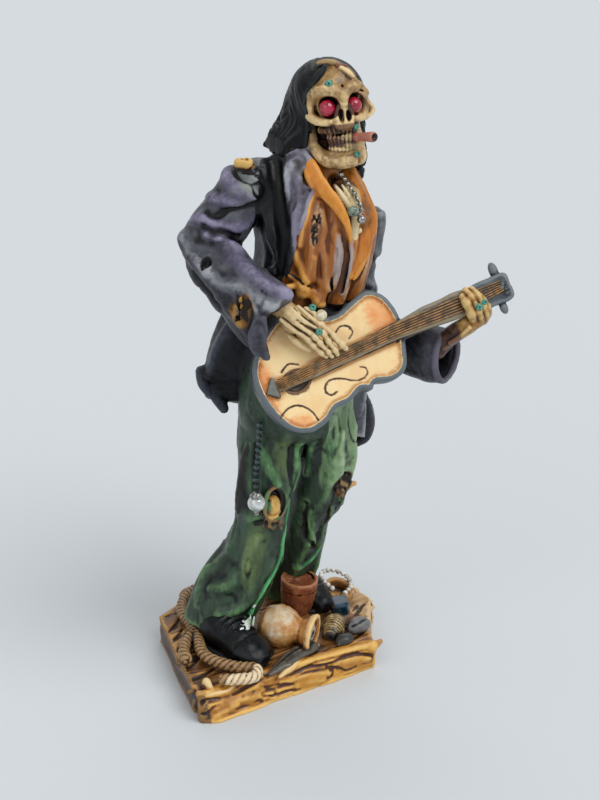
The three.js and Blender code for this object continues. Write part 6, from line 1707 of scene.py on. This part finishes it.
pearlCap = [(0, -1.5), (3.1, -1.4), (3.2, -0.9), (2.4, 0.3), (1.5, 1.5), (0.9, 1.7), (0, 1.7)]
pearlTip = [(0, -1.6), (0.5, -1.5), (1.3, -0.7), (1.1, 0.3), (1.7, 1), (0, 1.1)]
# The strings run over these stops; each has its gap to the next string beside it
stringStops = [((-24, -2.6, 2.3), 0.8), ((-8, -2.2, 3.1), 0.9), ((30, -1.2, 3.5), 1.0),
    ((70, -2.4, 3.5), 1.25), ((88.4, -1.2, 4), 0.9)]


def makeBeads():
    red = glossyFinish("red lustre glass bead", "C41F43", "8E1230", 3, 0.16, varnish=0.8)
    for side, centre, tip in (("right", (-6.3, -14.4, -1.6), -0.35), ("left", (5.8, -14.4, -2.0), 0.1)):
        node = "eye_bead_" + side
        drilledBead(node + "_glass", node, headPlace, centre, 3.6, (tip, 0.4, 1), red, sides=56)
    stone = glossyFinish("turquoise howlite bead", "5FA795", "2F7568", 0.9, 0.32, varnish=0.3, bump=0.2)
    for node, place, centre, axis, radius in turquoiseBeads:
        drilledBead(node + "_stone", node, place, centre, radius, axis, stone, 0.26, 0.86)
    pearl = glossyFinish("cream shell pearl", "EDE6CC", "C9BE98", 2.5, 0.2, varnish=0.6)
    drilledBead("hand_pearl_shell", "hand_pearl", guitarPlace, (5.5, 20.2, 10.2), 2.5, (1, 0.6, 0.3), pearl,
        0.18)
    silver = glossyFinish("tarnished silver bead", "C9CCCB", "6E6A66", 1.2, 0.22, metal=0.9, varnish=0.2)
    cord = glossyFinish("dark waxed cord", "2A221C", "1A1410", 2, 0.5, varnish=0.0)
    threaded("necklace_beads", "necklace", [necklaceLine], (silver, cord), 1.15, 2.3, 0.4)
    slate = glossyFinish("grey-green drilled stone", "8C9C8C", "5E6E64", 1.5, 0.3, bump=0.2)
    drilledBead("necklace_stone", "necklace", None, (20.8, -38.6, 236.4), 2.7, (0.5, 0.7, 0.5), slate, 0.2,
        0.75)
    drilledBead("necklace_pearl", "necklace", None, (24.4, -40, 232.4), 1.9, (1, 0.2, 0.4), silver, 0.22)
    ink = glossyFinish("blue-black glass bead", "2E5558", "10211F", 2.4, 0.15, metal=0.2, varnish=0.7)
    threaded("pocket_chain_beads", "pocket_chain", [pocketChainLine], (ink, cord), 1.45, 3.0, 0.6, 0.92)
    white = glossyFinish("white pearl with a silver sheen", "E9ECEA", "AEB6B4", 3, 0.14, metal=0.25,
        varnish=0.8)
    upright = (0.05, 0, 1)
    drilledBead("pocket_chain_pearl", "pocket_chain", None, (-15.6, -14.6, 93.6), 4.25, upright, white, 0.16,
        sides=56)
    for name, centre, profile in (("cap", (-15.5, -14.5, 98.2), pearlCap),
            ("tip", (-15.7, -14.7, 88.6), pearlTip)):
        points, quads, caps = spun(centre, upright, profile, 40)
        addPiece("pocket_chain_" + name, points, [quads, caps], silver, node="pocket_chain")
    shell = glossyFinish("white glass seed bead", "EDEBE4", "B9B4A8", 2.2, 0.22, varnish=0.6)
    threaded("base_string_beads", "bead_string", [baseStringLine], (shell, cord), 1.35, 2.7, 0.5)
    copper = glossyFinish("copper-painted string", "B98750", "6E5638", 4, 0.34, metal=0.35, varnish=0.2)
    lines = [placed([(x, y + gap * string, z) for (x, y, z), gap in stringStops],
        guitarPlace) for string in range(6)]
    threaded("guitar_strings", "guitar", lines, (copper, copper), 0.3, 10000, 0.3)
    print("beads, chains and strings made")


# Faceted crystal: a bevelled block of dark glass, turned on the base
crystal = {"centre": (32.8, -15.6, 21.8), "size": (9, 8.4, 9), "turns": (("Z", -22), ("Y", -6), ("X", 12))}


def makeCrystal():
    work = bmesh.new()
    bmesh.ops.create_cube(work, size=1)
    bmesh.ops.bevel(work, geom=work.edges[:] + work.verts[:], offset=0.16, segments=1, affect="EDGES")
    spin = Matrix.Identity(4)
    for axis, degrees in crystal["turns"]:
        spin = spin @ Matrix.Rotation(math.radians(degrees), 4, axis)
    size = Matrix.Diagonal((*(side * millimetre for side in crystal["size"]), 1))
    work.transform(Matrix.Translation(Vector(crystal["centre"]) * millimetre) @ spin @ size)
    bmesh.ops.bevel(work, geom=work.edges[:], offset=0.22 * millimetre, segments=2, affect="EDGES")
    bmesh.ops.recalc_face_normals(work, faces=work.faces)
    mesh = bpy.data.meshes.new("crystal_glass")
    work.to_mesh(mesh)
    work.free()
    mesh.materials.append(glossyFinish("dark teal cut glass", "22465A", "0E2230", 5, 0.08, varnish=0.9))
    joinFrame(bpy.data.objects.new("crystal_glass", mesh), "crystal")


makeSkull()
makeHair()
makeChest()
makeJacket()
makeShirt()
makeTrousers()
makeShoes()
makeBase()
makeRope()
makeGuitar()
makeHands()
makeProps()
makeBeads()
makeCrystal()
print("pieces made")
